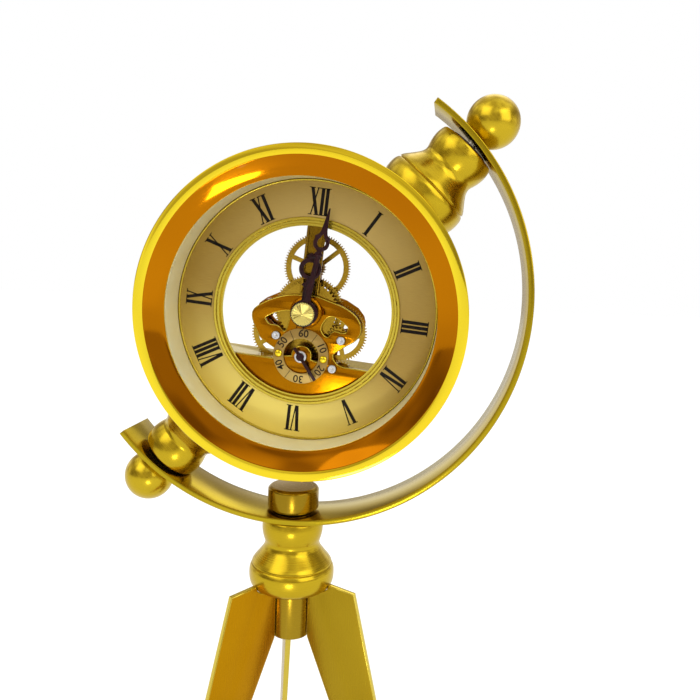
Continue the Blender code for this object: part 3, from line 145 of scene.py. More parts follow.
def trunnion_axes() -> Axes:
    """Axes whose z is the trunnion line, up to the right."""
    line = Vector(joint("head_tilt")["axis"]).normalized()
    across = Vector((0, -1, 0))
    return Axes(Vector(joint("head_tilt")["pos_m"]), across, line.cross(across), line)


def arbor_axes(name: str) -> Axes:
    """Dial axes moved to the joint of this name."""
    return replace(DIAL, origin=Vector(joint(name)["pos_m"]))


def stand_axes() -> Axes:
    """Upright axes on the floor, under the hub of the tripod."""
    low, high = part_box("tripod_hub")
    middle = (low + high) / 2
    return Axes(Vector((middle.x, middle.y, 0)), Vector((1, 0, 0)), Vector((0, 1, 0)), Vector((0, 0, 1)))


DIAL = dial_axes()
TRUNNION = trunnion_axes()
STAND = stand_axes()
SIDES = (("upper", TRUNNION), ("lower", TRUNNION.flipped()))


def measure(node: str, axes: Axes) -> Extent:
    """Measure a CAD node along and about a set of axes.

    Args:
        node: Name of the CAD node.
        axes: Axes to measure along and about.

    Returns:
        Its reach along z and its radii about z.
    """
    back = axes.matrix().inverted()
    places = [back @ vertex.co for vertex in frame["nodes"][node].data.vertices]
    radii = [hypot(place.x, place.y) for place in places]
    heights = [place.z for place in places]
    return Extent(min(heights), max(heights), max(radii), min(radii))


def seat_of(name: str) -> Point:
    """Place of a joint on the dial plane."""
    place = DIAL.matrix().inverted() @ Vector(joint(name)["pos_m"])
    return place.x, place.y


def corners_of(node: str) -> tuple[Point, Point]:
    """Lowest and highest corner of a CAD node on the dial plane."""
    back = DIAL.matrix().inverted()
    places = [back @ vertex.co for vertex in frame["nodes"][node].data.vertices]
    across = [place.x for place in places]
    up = [place.y for place in places]
    return (min(across), min(up)), (max(across), max(up))


def middle_of(node: str) -> Point:
    """Middle of a CAD node on the dial plane."""
    low, high = corners_of(node)
    return (low[0] + high[0]) / 2, (low[1] + high[1]) / 2


def on_circle(radius: float, angle: float, centre: Point = (0.0, 0.0)) -> Point:
    """A point on a circle."""
    return centre[0] + radius * cos(angle), centre[1] + radius * sin(angle)


def arc(radius: float, start: float, end: float, steps: int, centre: Point = (0.0, 0.0)) -> list[Point]:
    """Points along an arc, both ends included."""
    return [on_circle(radius, start + (end - start) * k / steps, centre) for k in range(steps + 1)]


def circle(radius: float, steps: int = SMALL_ROUND_STEPS, centre: Point = (0.0, 0.0)) -> list[Point]:
    """Points round a full circle."""
    return arc(radius, 0, tau, steps, centre)[:-1]


def scaled(shares: list[Point], size: float) -> list[Point]:
    """Points from shares of one size."""
    return [(x * size, y * size) for x, y in shares]


def eased(points: list[Point], closed: bool = False, per_span: int = 6) -> list[Point]:
    """Smooth curve through a run of points.

    Args:
        points: Points that the curve passes through.
        closed: Whether the curve returns to its first point.
        per_span: Points made for each stretch between two of them.

    Returns:
        Points along the curve.
    """
    count = len(points)
    spans = count if closed else count - 1
    made = []
    for k in range(spans):
        around = [k - 1, k, k + 1, k + 2]
        picked = [points[i % count] if closed else points[min(max(i, 0), count - 1)] for i in around]
        a, b, c, d = (Vector(place) for place in picked)
        for step in range(per_span):
            t = step / per_span
            place = b + (c - a) * t / 2 + (2 * a - 5 * b + 4 * c - d) * t * t / 2
            place += (3 * b - a - 3 * c + d) * t * t * t / 2
            made.append(tuple(place))
    return made if closed else made + [tuple(points[-1])]


def softened(profile: list[Point], edge: float) -> list[Point]:
    """Closed profile with each corner rounded, apart from those on the axis."""
    made = []
    count = len(profile)
    for k, place in enumerate(profile):
        here = Vector(place)
        before = Vector(profile[k - 1]) - here
        after = Vector(profile[(k + 1) % count]) - here
        if here.x < TINY or before.length < TINY or after.length < TINY or before.angle(after) > pi - CREASE:
            made.append(place)
            continue
        cut = min(edge, before.length / 3, after.length / 3)
        first = here + before.normalized() * cut
        last = here + after.normalized() * cut
        for t in (0, 0.3, 0.7, 1):
            made.append(tuple(first * (1 - t) ** 2 + here * 2 * t * (1 - t) + last * t * t))
    return made


def placed(name: str, data: bpy.types.ID) -> bpy.types.Object:
    """A new object in the scene."""
    made = bpy.data.objects.new(name, data)
    bpy.context.scene.collection.objects.link(made)
    return made


def evaluated_mesh(thing: bpy.types.Object) -> bpy.types.Mesh:
    """Plain mesh of what an object's modifiers or its curve make."""
    return bpy.data.meshes.new_from_object(thing.evaluated_get(bpy.context.evaluated_depsgraph_get()))


def taken_mesh(thing: bpy.types.Object) -> bpy.types.Mesh:
    """Plain mesh of a helper object, which is then removed."""
    mesh = evaluated_mesh(thing)
    bpy.data.objects.remove(thing, do_unlink=True)
    return mesh


def worked_mesh(shape: bmesh.types.BMesh, name: str) -> bpy.types.Mesh:
    """Mesh of a worked shape, which is then freed."""
    mesh = bpy.data.meshes.new(name)
    shape.to_mesh(mesh)
    shape.free()
    return mesh


def piece_from(name: str, mesh: bpy.types.Mesh, axes: Axes | None = None) -> bpy.types.Object:
    """An object at the origin whose place is in its mesh.

    Args:
        name: Name of the piece.
        mesh: Its mesh, in the axes given.
        axes: Axes that the mesh is drawn in, or None for the row frame.

    Returns:
        The new object.
    """
    if axes is not None:
        mesh.transform(axes.matrix())
    mesh.name = name
    return placed(name, mesh)


def smooth(piece: bpy.types.Object, crease: float = CREASE) -> bpy.types.Object:
    """Shade round surfaces smooth and keep real edges sharp."""
    piece.data.shade_smooth()
    piece.data.set_sharp_from_angle(angle=crease)
    return piece


def face_outwards(mesh: bpy.types.Mesh) -> bpy.types.Mesh:
    """Merge doubles, then turn every face outwards."""
    shape = bmesh.new()
    shape.from_mesh(mesh)
    bmesh.ops.remove_doubles(shape, verts=shape.verts, dist=TINY)
    bmesh.ops.recalc_face_normals(shape, faces=shape.faces)
    shape.to_mesh(mesh)
    shape.free()
    return mesh


def settled(piece: bpy.types.Object) -> bpy.types.Object:
    """Turn an object's modifiers into its plain mesh."""
    mesh = evaluated_mesh(piece)
    piece.modifiers.clear()
    piece.data = mesh
    mesh.name = piece.name
    return piece


def bevelled(piece: bpy.types.Object, width: float, segments: int = 2) -> bpy.types.Object:
    """Round every real edge of a piece."""
    bevel = piece.modifiers.new("edges", "BEVEL")
    bevel.width = width
    bevel.segments = segments
    bevel.limit_method = "ANGLE"
    bevel.angle_limit = CREASE
    return smooth(settled(piece))


def revolve(name: str, profile: list[Point], axes: Axes, edge: float = 0.0,
            steps: int = ROUND_STEPS) -> bpy.types.Object:
    """Turned piece from a closed profile.

    Args:
        name: Name of the piece.
        profile: (radius, height) points round the section, or from the axis back to the axis.
        axes: Axes whose z is the turning axis.
        edge: Radius that its corners are rounded to.
        steps: Segments round the axis.

    Returns:
        The new object.
    """
    points = softened(profile, edge) if edge else profile
    shape = bmesh.new()
    rings = []
    for radius, height in points:
        if radius < TINY:
            rings.append([shape.verts.new((0, 0, height))])
        else:
            rings.append([shape.verts.new((*on_circle(radius, tau * k / steps), height)) for k in range(steps)])
    for first, second in zip(rings, rings[1:] + rings[:1]):
        if len(first) == 1 and len(second) == 1:
            continue
        for k in range(steps):
            corners = [first[k % len(first)], first[(k + 1) % len(first)],
                       second[(k + 1) % len(second)], second[k % len(second)]]
            shape.faces.new(list(dict.fromkeys(corners)))
    bmesh.ops.recalc_face_normals(shape, faces=shape.faces)
    return smooth(piece_from(name, worked_mesh(shape, name), axes))


def plate(name: str, outlines: list[list[Point]], low: float, high: float, axes: Axes,
          edge: float = 0.0) -> bpy.types.Object:
    """Flat piece with rounded edges.

    Args:
        name: Name of the piece.
        outlines: Closed outlines on the XY plane, holes included.
        low: Height of its back.
        high: Height of its face.
        axes: Axes that it is drawn in.
        edge: Radius of its edges.

    Returns:
        The new object.
    """
    drawing = bpy.data.curves.new(name + "_outline", "CURVE")
    drawing.dimensions = "2D"
    drawing.fill_mode = "BOTH"
    drawing.extrude = (high - low) / 2 - edge
    drawing.bevel_depth = edge
    drawing.bevel_resolution = 1
    drawing.offset = -edge
    for outline in outlines:
        spline = drawing.splines.new("POLY")
        spline.points.add(len(outline) - 1)
        for point, (x, y) in zip(spline.points, outline):
            point.co = (x, y, 0, 1)
        spline.use_cyclic_u = True
    mesh = taken_mesh(placed(name + "_drawn", drawing))
    mesh.transform(Matrix.Translation((0, 0, (high + low) / 2)))
    mesh.materials.clear()
    return smooth(piece_from(name, face_outwards(mesh), axes), PLATE_CREASE)


def refined(name: str, node: str, edge: float) -> bpy.types.Object:
    """Copy of a CAD node with its flat faces joined and its edges rounded."""
    mesh = frame["nodes"][node].data.copy()
    shape = bmesh.new()
    shape.from_mesh(mesh)
    bmesh.ops.remove_doubles(shape, verts=shape.verts, dist=TINY)
    bmesh.ops.dissolve_limit(shape, angle_limit=FLAT, verts=shape.verts, edges=shape.edges)
    shape.to_mesh(mesh)
    shape.free()
    mesh.materials.clear()
    return bevelled(piece_from(name, mesh), edge)


def joined(name: str, parts: list[bpy.types.Object]) -> bpy.types.Object:
    """One piece from several that share a body and a finish."""
    shape = bmesh.new()
    for part in parts:
        shape.from_mesh(part.data)
        bpy.data.objects.remove(part, do_unlink=True)
    return smooth(piece_from(name, worked_mesh(shape, name)))


def bored(piece: bpy.types.Object, cutters: list[bpy.types.Object]) -> bpy.types.Object:
    """Cut holes through a piece and remove the cutters."""
    for cutter in cutters:
        cut = piece.modifiers.new("bore", "BOOLEAN")
        cut.operation = "DIFFERENCE"
        cut.solver = "EXACT"
        cut.object = cutter
    settled(piece)
    for cutter in cutters:
        bpy.data.objects.remove(cutter, do_unlink=True)
    return smooth(piece)


def mount(piece: bpy.types.Object, body: str, dress: bpy.types.Material, slot: str,
          *nodes: str) -> bpy.types.Object:
    """Dress a finished piece, set it on its body and hide what it stands for.

    Args:
        piece: The finished piece.
        body: Body that it rides on.
        dress: Its material.
        slot: The record's material slot of that finish; not used.
        nodes: CAD nodes that it replaces.

    Returns:
        The piece.
    """
    piece.data.materials.clear()
    piece.data.materials.append(dress)
    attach(piece, body)
    if nodes:
        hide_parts(*nodes)
    LOG.info("%s on %s, %d faces", piece.name, body, len(piece.data.polygons))
    return piece


def recoloured_sides(piece: bpy.types.Object, axes: Axes, dress: bpy.types.Material) -> None:
    """Give the side faces of a flat piece a second material, lighter than its face."""
    piece.data.materials.append(dress)
    for face in piece.data.polygons:
        if abs(face.normal.dot(axes.z)) < cos(CREASE / 2):
            face.material_index = 1


def dress_node(node: str, dress: bpy.types.Material) -> None:
    """Give a CAD node that stays its finish."""
    thing = frame["nodes"][node]
    if not thing.material_slots:
        thing.data.materials.append(dress)
    for held in thing.material_slots:
        held.material = dress
    LOG.info("%s keeps its solid", node)


class Value:
    """What a node puts out, to reckon on with in its tree."""

    def __init__(self, wiring: "Wiring", socket: bpy.types.NodeSocket) -> None:
        """Hold a socket and its tree."""
        self.wiring = wiring
        self.socket = socket

    def __add__(self, other: "Wire") -> "Value":
        """Sum with a value or a number."""
        return self.wiring.math("ADD", self, other)

    def __sub__(self, other: "Wire") -> "Value":
        """Difference from a value or a number."""
        return self.wiring.math("SUBTRACT", self, other)

    def __mul__(self, other: "Wire") -> "Value":
        """Product with a value or a number."""
        return self.wiring.math("MULTIPLY", self, other)

    def __truediv__(self, other: "Wire") -> "Value":
        """Quotient by a value or a number."""
        return self.wiring.math("DIVIDE", self, other)

    def __gt__(self, other: "Wire") -> "Value":
        """One where it is more than a value or a number, and nought elsewhere."""
        return self.wiring.math("GREATER_THAN", self, other)


Wire = Value | bpy.types.Node | bpy.types.NodeSocket | tuple | float


class Wiring:
    """A node tree that is built in steps."""

    def __init__(self, tree: bpy.types.NodeTree) -> None:
        """Start with a tree."""
        self.tree = tree

    def add(self, kind: str, wires: dict, **choices: str) -> bpy.types.Node:
        """Add a node.

        Args:
            kind: Its type.
            wires: What goes into its inputs, as for fill.
            choices: Its own settings.

        Returns:
            The node.
        """
        node = self.tree.nodes.new(kind)
        for choice, value in choices.items():
            setattr(node, choice, value)
        self.fill(node, wires)
        return node

    def fill(self, node: bpy.types.Node, wires: dict) -> None:
        """Link or set inputs of a node.

        Args:
            node: The node.
            wires: What goes into its inputs, by name or number: a value, a socket, a node or a number.
        """
        for key, value in wires.items():
            if isinstance(value, Value):
                value = value.socket
            if isinstance(value, bpy.types.Node):
                value = value.outputs[0]
            if isinstance(value, bpy.types.NodeSocket):
                self.tree.links.new(value, node.inputs[key])
            else:
                node.inputs[key].default_value = value

    def vector(self, x: Wire = 0.0, y: Wire = 0.0, z: Wire = 0.0) -> bpy.types.Node:
        """A vector of three values or numbers."""
        return self.add("ShaderNodeCombineXYZ", {0: x, 1: y, 2: z})

    def split(self, vector: Wire) -> list[Value]:
        """The three values of a vector."""
        return [Value(self, part) for part in self.add("ShaderNodeSeparateXYZ", {0: vector}).outputs]

    def math(self, operation: str, first: Wire, second: Wire = 0.0) -> Value:
        """One sum of two values or numbers."""
        return Value(self, self.add("ShaderNodeMath", {0: first, 1: second}, operation=operation).outputs[0])

    def ranged(self, value: Wire, start: float, end: float, low: float, high: float) -> Value:
        """A value from one range carried over to another, and held at its ends."""
        return Value(self, self.add("ShaderNodeMapRange", {
            "Value": value, "From Min": start, "From Max": end, "To Min": low, "To Max": high}).outputs[0])

    def blend(self, amount: Wire, first: Wire, second: Wire) -> bpy.types.NodeSocket:
        """A colour between two colours, each a tuple or a socket."""
        ends = [(*part, 1.0) if isinstance(part, tuple) else part for part in (first, second)]
        return self.add("ShaderNodeMix", {"Factor": amount, 6: ends[0], 7: ends[1]}, data_type="RGBA").outputs[2]


class Shading(Wiring):
    """A material's node tree, with one method for each step of a finish."""

    def __init__(self, name: str, axes: Axes | None = None) -> None:
        """Start a material whose patterns are laid out in a piece's own axes.

        Args:
            name: Name of the material.
            axes: Axes that its patterns follow, or None for the row frame.
        """
        self.material = bpy.data.materials.new(name)
        self.material.use_nodes = True
        super().__init__(self.material.node_tree)
        self.shader = self.tree.nodes["Principled BSDF"]
        self.place = self.add("ShaderNodeTexCoord", {}).outputs["Object"]
        if axes is not None:
            self.place = self.add("ShaderNodeMapping", {
                "Vector": self.place, "Location": axes.origin, "Rotation": axes.matrix().to_euler(),
            }, vector_type="TEXTURE")

    def stretched(self, grain: Grain, fine: float, long: float) -> bpy.types.Node:
        """Coordinates in which a noise becomes marks of one direction.

        Args:
            grain: How the marks lie.
            fine: Marks per metre across their direction.
            long: Marks per metre along it.

        Returns:
            A vector for a texture of scale one.
        """
        if grain in (Grain.TURNED, Grain.RADIAL):
            across, up, height = self.split(self.place)
            turn = self.math("ARCTAN2", up, across)
            if grain is Grain.RADIAL:
                return self.vector(self.math("COSINE", turn) * fine, self.math("SINE", turn) * fine)
            radius = self.math("SQRT", across * across + up * up)
            return self.vector(radius * fine, height * fine, self.math("COSINE", turn) * (long * MM))
        scales = {Grain.ACROSS: (long, fine, fine), Grain.LENGTHWISE: (fine, long, fine),
                  Grain.CLOUDY: (fine, fine, fine)}
        return self.add("ShaderNodeMapping", {"Vector": self.place, "Scale": scales[grain]})

    def noise(self, vector: Wire, detail: float = 3.0) -> bpy.types.Node:
        """A noise of scale one over a vector."""
        return self.add("ShaderNodeTexNoise", {"Vector": vector, "Scale": 1.0, "Detail": detail})

    def clouds(self, scale: float) -> bpy.types.Node:
        """A soft even noise, of so many patches per metre."""
        return self.noise(self.stretched(Grain.CLOUDY, scale, scale))

    def spread(self, value: Wire, low: float, high: float) -> Value:
        """A noise's usual reach stretched to lie between two values."""
        return self.ranged(value, *NOISE_REACH, low, high)

    def bump(self, height: Wire, depth: float) -> None:
        """Raise and sink the surface by a pattern, by a depth in metres."""
        self.dress(Normal=self.add("ShaderNodeBump", {"Strength": 1.0, "Distance": depth, "Height": height}))

    def sharp_edges(self) -> Value:
        """How far a place is a sharp outer edge."""
        pointed = self.add("ShaderNodeNewGeometry", {}).outputs["Pointiness"]
        return self.ranged(pointed, *SHARP_EDGE_REACH, 0.0, 1.0)

    def dress(self, **inputs: Wire) -> None:
        """Link or set inputs of the shader, named with underscores for spaces."""
        self.fill(self.shader, {name.replace("_", " "): value for name, value in inputs.items()})


@dataclass(frozen=True)
class Finish:
    """A surface that a piece is given."""
    name: str

    def material(self, axes: Axes | None = None) -> bpy.types.Material:
        """Build the material.

        Args:
            axes: Axes that its patterns follow, or None for the row frame.

        Returns:
            The material.
        """
        shading = Shading(self.name, axes)
        self.paint(shading)
        return shading.material

    def paint(self, shading: Shading) -> None:
        """Wire the finish."""
        raise NotImplementedError


@dataclass(frozen=True)
class MetalFinish(Finish):
    """A bare or plated metal: its colour, its cloudy variation and the marks of how it was made."""
    colour: tuple[float, float, float]
    shade: tuple[float, float, float]
    roughness: float
    unevenness: float = 0.06
    grain: Grain = Grain.CLOUDY
    marks_per_mm: float = 6.0
    mark_length: float = 12.0
    depth: float = 0.002
    cloud: float = 14.0
    edge_lightening: float = 0.3
    edge_gain: float = 1.2
    edge_lift: float = 0.05
    metallic: float = 1.0

    def paint(self, shading: Shading) -> None:
        """Wire the marks, the clouds and the lighter colour on sharp edges."""
        fine = self.marks_per_mm / MM
        marks = shading.noise(shading.stretched(self.grain, fine, fine / self.mark_length), 2.0)
        colour = shading.blend(shading.spread(shading.clouds(self.cloud), 0.0, 1.0), self.colour, self.shade)
        lightened_edges = shading.sharp_edges() * self.edge_lightening
        bright = tuple(min(1.0, part * self.edge_gain + self.edge_lift) for part in self.colour)
        shading.dress(Base_Color=shading.blend(lightened_edges, colour, bright), Metallic=self.metallic,
                      Roughness=shading.spread(marks, self.roughness - self.unevenness,
                                               self.roughness + self.unevenness))
        shading.bump(marks, self.depth * MM)


@dataclass(frozen=True)
class PlainFinish(Finish):
    """A moulded, painted or enamelled surface with a fine skin."""
    colour: tuple[float, float, float]
    shade: tuple[float, float, float]
    roughness: float
    skin_per_mm: float = 8.0
    depth: float = 0.004
    metallic: float = 0.0
    coat: float = 0.0
    gloss: float = 0.5
    unevenness: float = 0.05
    cloud_share: float = 1 / 40

    def paint(self, shading: Shading) -> None:
        """Wire the skin and the clouds."""
        fine = self.skin_per_mm / MM
        skin = shading.noise(shading.stretched(Grain.CLOUDY, fine, fine), 2.0)
        clouds = shading.spread(shading.clouds(fine * self.cloud_share), 0.0, 1.0)
        shading.dress(Base_Color=shading.blend(clouds, self.colour, self.shade), Metallic=self.metallic,
                      Roughness=shading.spread(skin, self.roughness - self.unevenness,
                                               self.roughness + self.unevenness),
                      Coat_Weight=self.coat, Specular_IOR_Level=self.gloss)
        shading.bump(skin, self.depth * MM)


@dataclass(frozen=True)
class SpunDialFinish(Finish):
    """Pale gold dial sheet: fine straight grain under wide light and dark sweeps round the centre, which are a
    painted reflection, and a painted highlight towards the bottom.
    """
    name: str = "champagne_dial"
    light: tuple[float, float, float] = (0.88, 0.70, 0.15)
    middle: tuple[float, float, float] = (0.56, 0.38, 0.11)
    dark: tuple[float, float, float] = (0.37, 0.22, 0.035)
    roughness: float = 0.36
    unevenness: float = 0.08
    # Turn and strength of the painted reflection sweeps, and the turn of the painted highlight.
    painted_sweep_turn: float = radians(75)
    painted_sweep_share: float = 0.42
    painted_highlight_turn: float = radians(255)
    cloud: float = 30.0
    cloud_share: float = 0.16
    mark_share: float = 0.14
    marks_per_mm: float = 9.0
    mark_length: float = 30.0
    depth: float = 0.002
    metallic: float = 0.45

    def paint(self, shading: Shading) -> None:
        """Wire the grain, the painted reflection sweeps of light and shade, and the painted highlight."""
        fine = self.marks_per_mm / MM
        marks = shading.noise(shading.stretched(Grain.ACROSS, fine, fine / self.mark_length))
        across, up, _ = shading.split(shading.place)
        turn = shading.math("ARCTAN2", up, across)
        # Painted reflection: two light and two dark sweeps round the centre, mixed with random cloudy tone.
        painted_sweep = (shading.math("COSINE", (turn - self.painted_sweep_turn) * 2.0) + 1.0) * self.painted_sweep_share
        clouds = shading.spread(shading.clouds(self.cloud), 0.0, self.cloud_share)
        colour = shading.blend(painted_sweep + clouds, self.dark, self.middle)
        # Painted highlight: the dial is lighter round one turn.
        painted_highlight = shading.math("COSINE", turn - self.painted_highlight_turn)
        painted_highlight = shading.math("POWER", shading.math("MAXIMUM", painted_highlight, 0.0), 2.0)
        colour = shading.blend(painted_highlight, colour, self.light)
        shading.dress(Base_Color=shading.blend(shading.spread(marks, 0.0, self.mark_share), colour, self.light),
                      Roughness=shading.spread(marks, self.roughness - self.unevenness,
                                               self.roughness + self.unevenness),
                      Metallic=self.metallic)
        shading.bump(marks, self.depth * MM)


@dataclass(frozen=True)
class GlassFinish(Finish):
    """Thin clear glass: a film of reflection that grows towards its edge-on view."""
    name: str = "clear_glass"
    colour: tuple[float, float, float] = (0.93, 0.97, 0.95)
    facing: float = 0.025
    grazing: float = 0.35
    fall: float = 0.25
    smear_per_mm: float = 0.08
    smears: Point = (0.02, 0.05)

    def paint(self, shading: Shading) -> None:
        """Wire the film and its faint smears."""
        weight = shading.add("ShaderNodeLayerWeight", {"Blend": self.fall})
        shading.dress(Base_Color=(*self.colour, 1.0), Metallic=1.0,
                      Roughness=shading.spread(shading.clouds(self.smear_per_mm / MM), *self.smears),
                      Alpha=shading.ranged(weight.outputs["Fresnel"], self.facing, 1.0, 0.0, self.grazing))


@dataclass(frozen=True)
class BoardFinish(Finish):
    """Green solder mask over faint copper tracks."""
    name: str = "board_green"
    colour: tuple[float, float, float] = (0.03, 0.20, 0.08)
    track: tuple[float, float, float] = (0.06, 0.32, 0.14)
    tracks_per_mm: float = 0.5
    track_share: float = 0.06
    skin_per_mm: float = 4.0
    skin: Point = (0.35, 0.5)
    depth: float = 0.02

    def paint(self, shading: Shading) -> None:
        """Wire the tracks under the mask."""
        mask = (*self.colour, 1.0)
        bricks = shading.add("ShaderNodeTexBrick", {
            "Vector": shading.place, "Scale": self.tracks_per_mm / MM, "Color1": mask, "Color2": mask,
            "Mortar": (*self.track, 1.0), "Mortar Size": self.track_share})
        shading.dress(Base_Color=bricks.outputs["Color"],
                      Roughness=shading.spread(shading.clouds(self.skin_per_mm / MM), *self.skin))
        shading.bump(bricks.outputs["Fac"], self.depth * MM)


SATIN_BRASS = MetalFinish("satin_brass", (0.64, 0.45, 0.024), (0.52, 0.35, 0.012), 0.24, 0.05, Grain.TURNED,
                          7.0, 30.0, 0.0012)
# Painted shade: a darker copy of the satin brass, for the hub between the legs and the cap nut.
SHADE_PAINTED_BRASS = replace(SATIN_BRASS, name="painted_shade_brass", colour=(0.40, 0.26, 0.018), shade=(0.30, 0.18, 0.010))
# Painted shadow: a near-black copy of the satin brass, for the clamp washer.
SHADOW_LINE_BRASS = replace(SATIN_BRASS, name="painted_shadow_brass", colour=(0.16, 0.10, 0.02))
DRAWN_BRASS = MetalFinish("drawn_brass", (0.46, 0.31, 0.016), (0.38, 0.24, 0.010), 0.24, 0.05, Grain.LENGTHWISE,
                          5.0, 60.0, 0.0006)
# Painted reflection: a more orange copy of the drawn brass, for the left front leg only.
REFLECTION_TINTED_BRASS = replace(DRAWN_BRASS, name="left_leg_painted_reflection", colour=(0.54, 0.27, 0.004),
                           shade=(0.44, 0.19, 0.002))
ROLLED_BRASS = MetalFinish("rolled_brass", (0.56, 0.41, 0.020), (0.44, 0.31, 0.010), 0.20, 0.06, Grain.TURNED,
                           6.0, 40.0, 0.0012)
POLISHED_GOLD = MetalFinish("polished_gold", (1.0, 0.78, 0.035), (0.96, 0.70, 0.025), 0.07, 0.02, Grain.TURNED,
                            3.0, 40.0, 0.0005)
# Painted reflection: a darker orange copy of the polished gold for the bezel's cove, which is one piece with the
# rim.
COVE_REFLECTION_GOLD = replace(POLISHED_GOLD, name="cove_painted_reflection", colour=(0.54, 0.185, 0.002), shade=(0.46, 0.145, 0.002))
RING_GOLD = replace(POLISHED_GOLD, name="ring_gold", colour=(0.72, 0.56, 0.07), shade=(0.60, 0.45, 0.05),
                    roughness=0.22)
NUT_GOLD = replace(POLISHED_GOLD, name="nut_gold", colour=(0.95, 0.80, 0.26), shade=(0.70, 0.52, 0.10),
                   roughness=0.16, grain=Grain.RADIAL, marks_per_mm=0.012, depth=0.02)
WARM_GOLD = MetalFinish("warm_gold_plate", (0.42, 0.16, 0.002), (0.34, 0.12, 0.001), 0.17, 0.03, Grain.ACROSS,
                        6.0, 30.0, 0.0004, 60.0)
BRIDGE_GOLD = replace(WARM_GOLD, name="bridge_gold", grain=Grain.LENGTHWISE, colour=(0.34, 0.20, 0.015),
                      shade=(0.24, 0.13, 0.008))
WHEEL_GOLD = MetalFinish("wheel_gold", (0.48, 0.30, 0.03), (0.36, 0.21, 0.015), 0.22, 0.05, Grain.TURNED,
                         7.0, 20.0, 0.0008, 80.0)
CASE_GOLD = MetalFinish("case_gold", (0.66, 0.46, 0.04), (0.56, 0.37, 0.025), 0.26, 0.05, Grain.TURNED,
                        5.0, 30.0, 0.0012)
STEEL = MetalFinish("turned_steel", (0.66, 0.66, 0.68), (0.55, 0.55, 0.57), 0.26, 0.06, Grain.TURNED,
                    9.0, 30.0, 0.0015)
DARK_HAND = PlainFinish("dark_hand", (0.020, 0.004, 0.006), (0.034, 0.007, 0.010), 0.30, 6.0, 0.001, gloss=0.18)
PRINT_BLACK = PlainFinish("dial_print", (0.010, 0.007, 0.005), (0.016, 0.011, 0.008), 0.45, 10.0, 0.001, gloss=0.12)
CREAM = PlainFinish("cream_reflector", (0.95, 0.88, 0.56), (0.93, 0.83, 0.46), 0.42, 5.0, 0.001)
BLACK_PLASTIC = PlainFinish("black_plastic", (0.025, 0.025, 0.027), (0.035, 0.035, 0.036), 0.45)
CELL_JACKET = PlainFinish("cell_jacket", (0.16, 0.17, 0.19), (0.20, 0.21, 0.23), 0.30, 4.0, 0.001, 0.4, 0.3)
COPPER = MetalFinish("copper_winding", (0.62, 0.24, 0.10), (0.48, 0.16, 0.06), 0.32, 0.08, Grain.TURNED,
                     8.0, 30.0, 0.02)


class Growth(Wiring):
    """A Geometry Nodes tree that is built in steps, and grown into plain meshes."""

    def __init__(self, name: str, counts: tuple[str, ...], lengths: tuple[str, ...]) -> None:
        """Start a tree with named inputs.

        Args:
            name: Name of the tree.
            counts: Its inputs that are whole numbers.
            lengths: Its inputs that are lengths or angles.
        """
        super().__init__(bpy.data.node_groups.new(name, "GeometryNodeTree"))
        self.tree.interface.new_socket("Geometry", in_out="OUTPUT", socket_type="NodeSocketGeometry")
        kinds = dict.fromkeys(counts, "NodeSocketInt") | dict.fromkeys(lengths, "NodeSocketFloat")
        self.keys = {}
        for size, kind in (kinds | {"Material": "NodeSocketMaterial"}).items():
            made = self.tree.interface.new_socket(size, in_out="INPUT", socket_type=kind)
            self.keys[size] = made.identifier
        self.start = self.tree.nodes.new("NodeGroupInput")
        self.end = self.tree.nodes.new("NodeGroupOutput")

    def size(self, name: str) -> Value:
        """A named input."""
        return Value(self, self.start.outputs[name])

    def index(self) -> Value:
        """Number of each point."""
        return Value(self, self.add("GeometryNodeInputIndex", {}).outputs[0])

    def polar(self, radius: Value, angle: Value) -> bpy.types.Node:
        """A place from its radius and angle."""
        return self.vector(radius * self.math("COSINE", angle), radius * self.math("SINE", angle))

    @staticmethod
    def between(choice: Value, first: Value, second: Value) -> Value:
        """The first value where the choice is nought, and the second where it is one."""
        return first + (second - first) * choice

    def together(self, *parts: bpy.types.Node) -> bpy.types.Node:
        """One geometry from several."""
        made = self.add("GeometryNodeJoinGeometry", {})
        for part in parts:
            self.fill(made, {0: part})
        return made

    def circled(self, steps: Wire, place: bpy.types.Node) -> bpy.types.Node:
        """A closed curve of so many points, each put in its place."""
        curve = self.add("GeometryNodeCurvePrimitiveCircle", {"Resolution": steps, "Radius": 1.0})
        return self.add("GeometryNodeSetPosition", {"Geometry": curve, "Position": place})

    def swung(self, points: bpy.types.Node, instance: bpy.types.Node, angle: Value) -> bpy.types.Node:
        """One instance at each point, turned about z."""
        swing = self.add("FunctionNodeEulerToRotation", {0: self.vector(z=angle)})
        return self.add("GeometryNodeInstanceOnPoints", {
            "Points": points, "Instance": instance, "Rotation": swing})

    def lifted(self, geometry: bpy.types.Node, height: Value) -> bpy.types.Node:
        """A geometry moved along z."""
        return self.add("GeometryNodeTransform", {"Geometry": geometry, "Translation": self.vector(z=height)})

    def finish(self, geometry: bpy.types.Node) -> None:
        """Realize what was grown, give it its material and hand it out."""
        real = self.add("GeometryNodeRealizeInstances", {0: geometry})
        self.fill(self.end, {0: self.add("GeometryNodeSetMaterial", {
            "Geometry": real, "Material": self.size("Material")})})

    def grow(self, name: str, axes: Axes, dress: bpy.types.Material, **sizes: float) -> bpy.types.Object:
        """Grow one piece with the tree.

        Args:
            name: Name of the piece.
            axes: Axes that it is grown in.
            dress: Its material.
            sizes: Value of each named input, with spaces written as underscores.

        Returns:
            A plain piece, its place in its mesh.
        """
        seed = placed(name + "_seed", bpy.data.meshes.new(name + "_seed"))
        grown = seed.modifiers.new("growth", "NODES")
        grown.node_group = self.tree
        for size, value in sizes.items():
            grown[self.keys[size.replace("_", " ")]] = value
        grown[self.keys["Material"]] = dress
        seed.update_tag()
        bpy.context.view_layer.update()
        return smooth(piece_from(name, face_outwards(taken_mesh(seed)), axes))


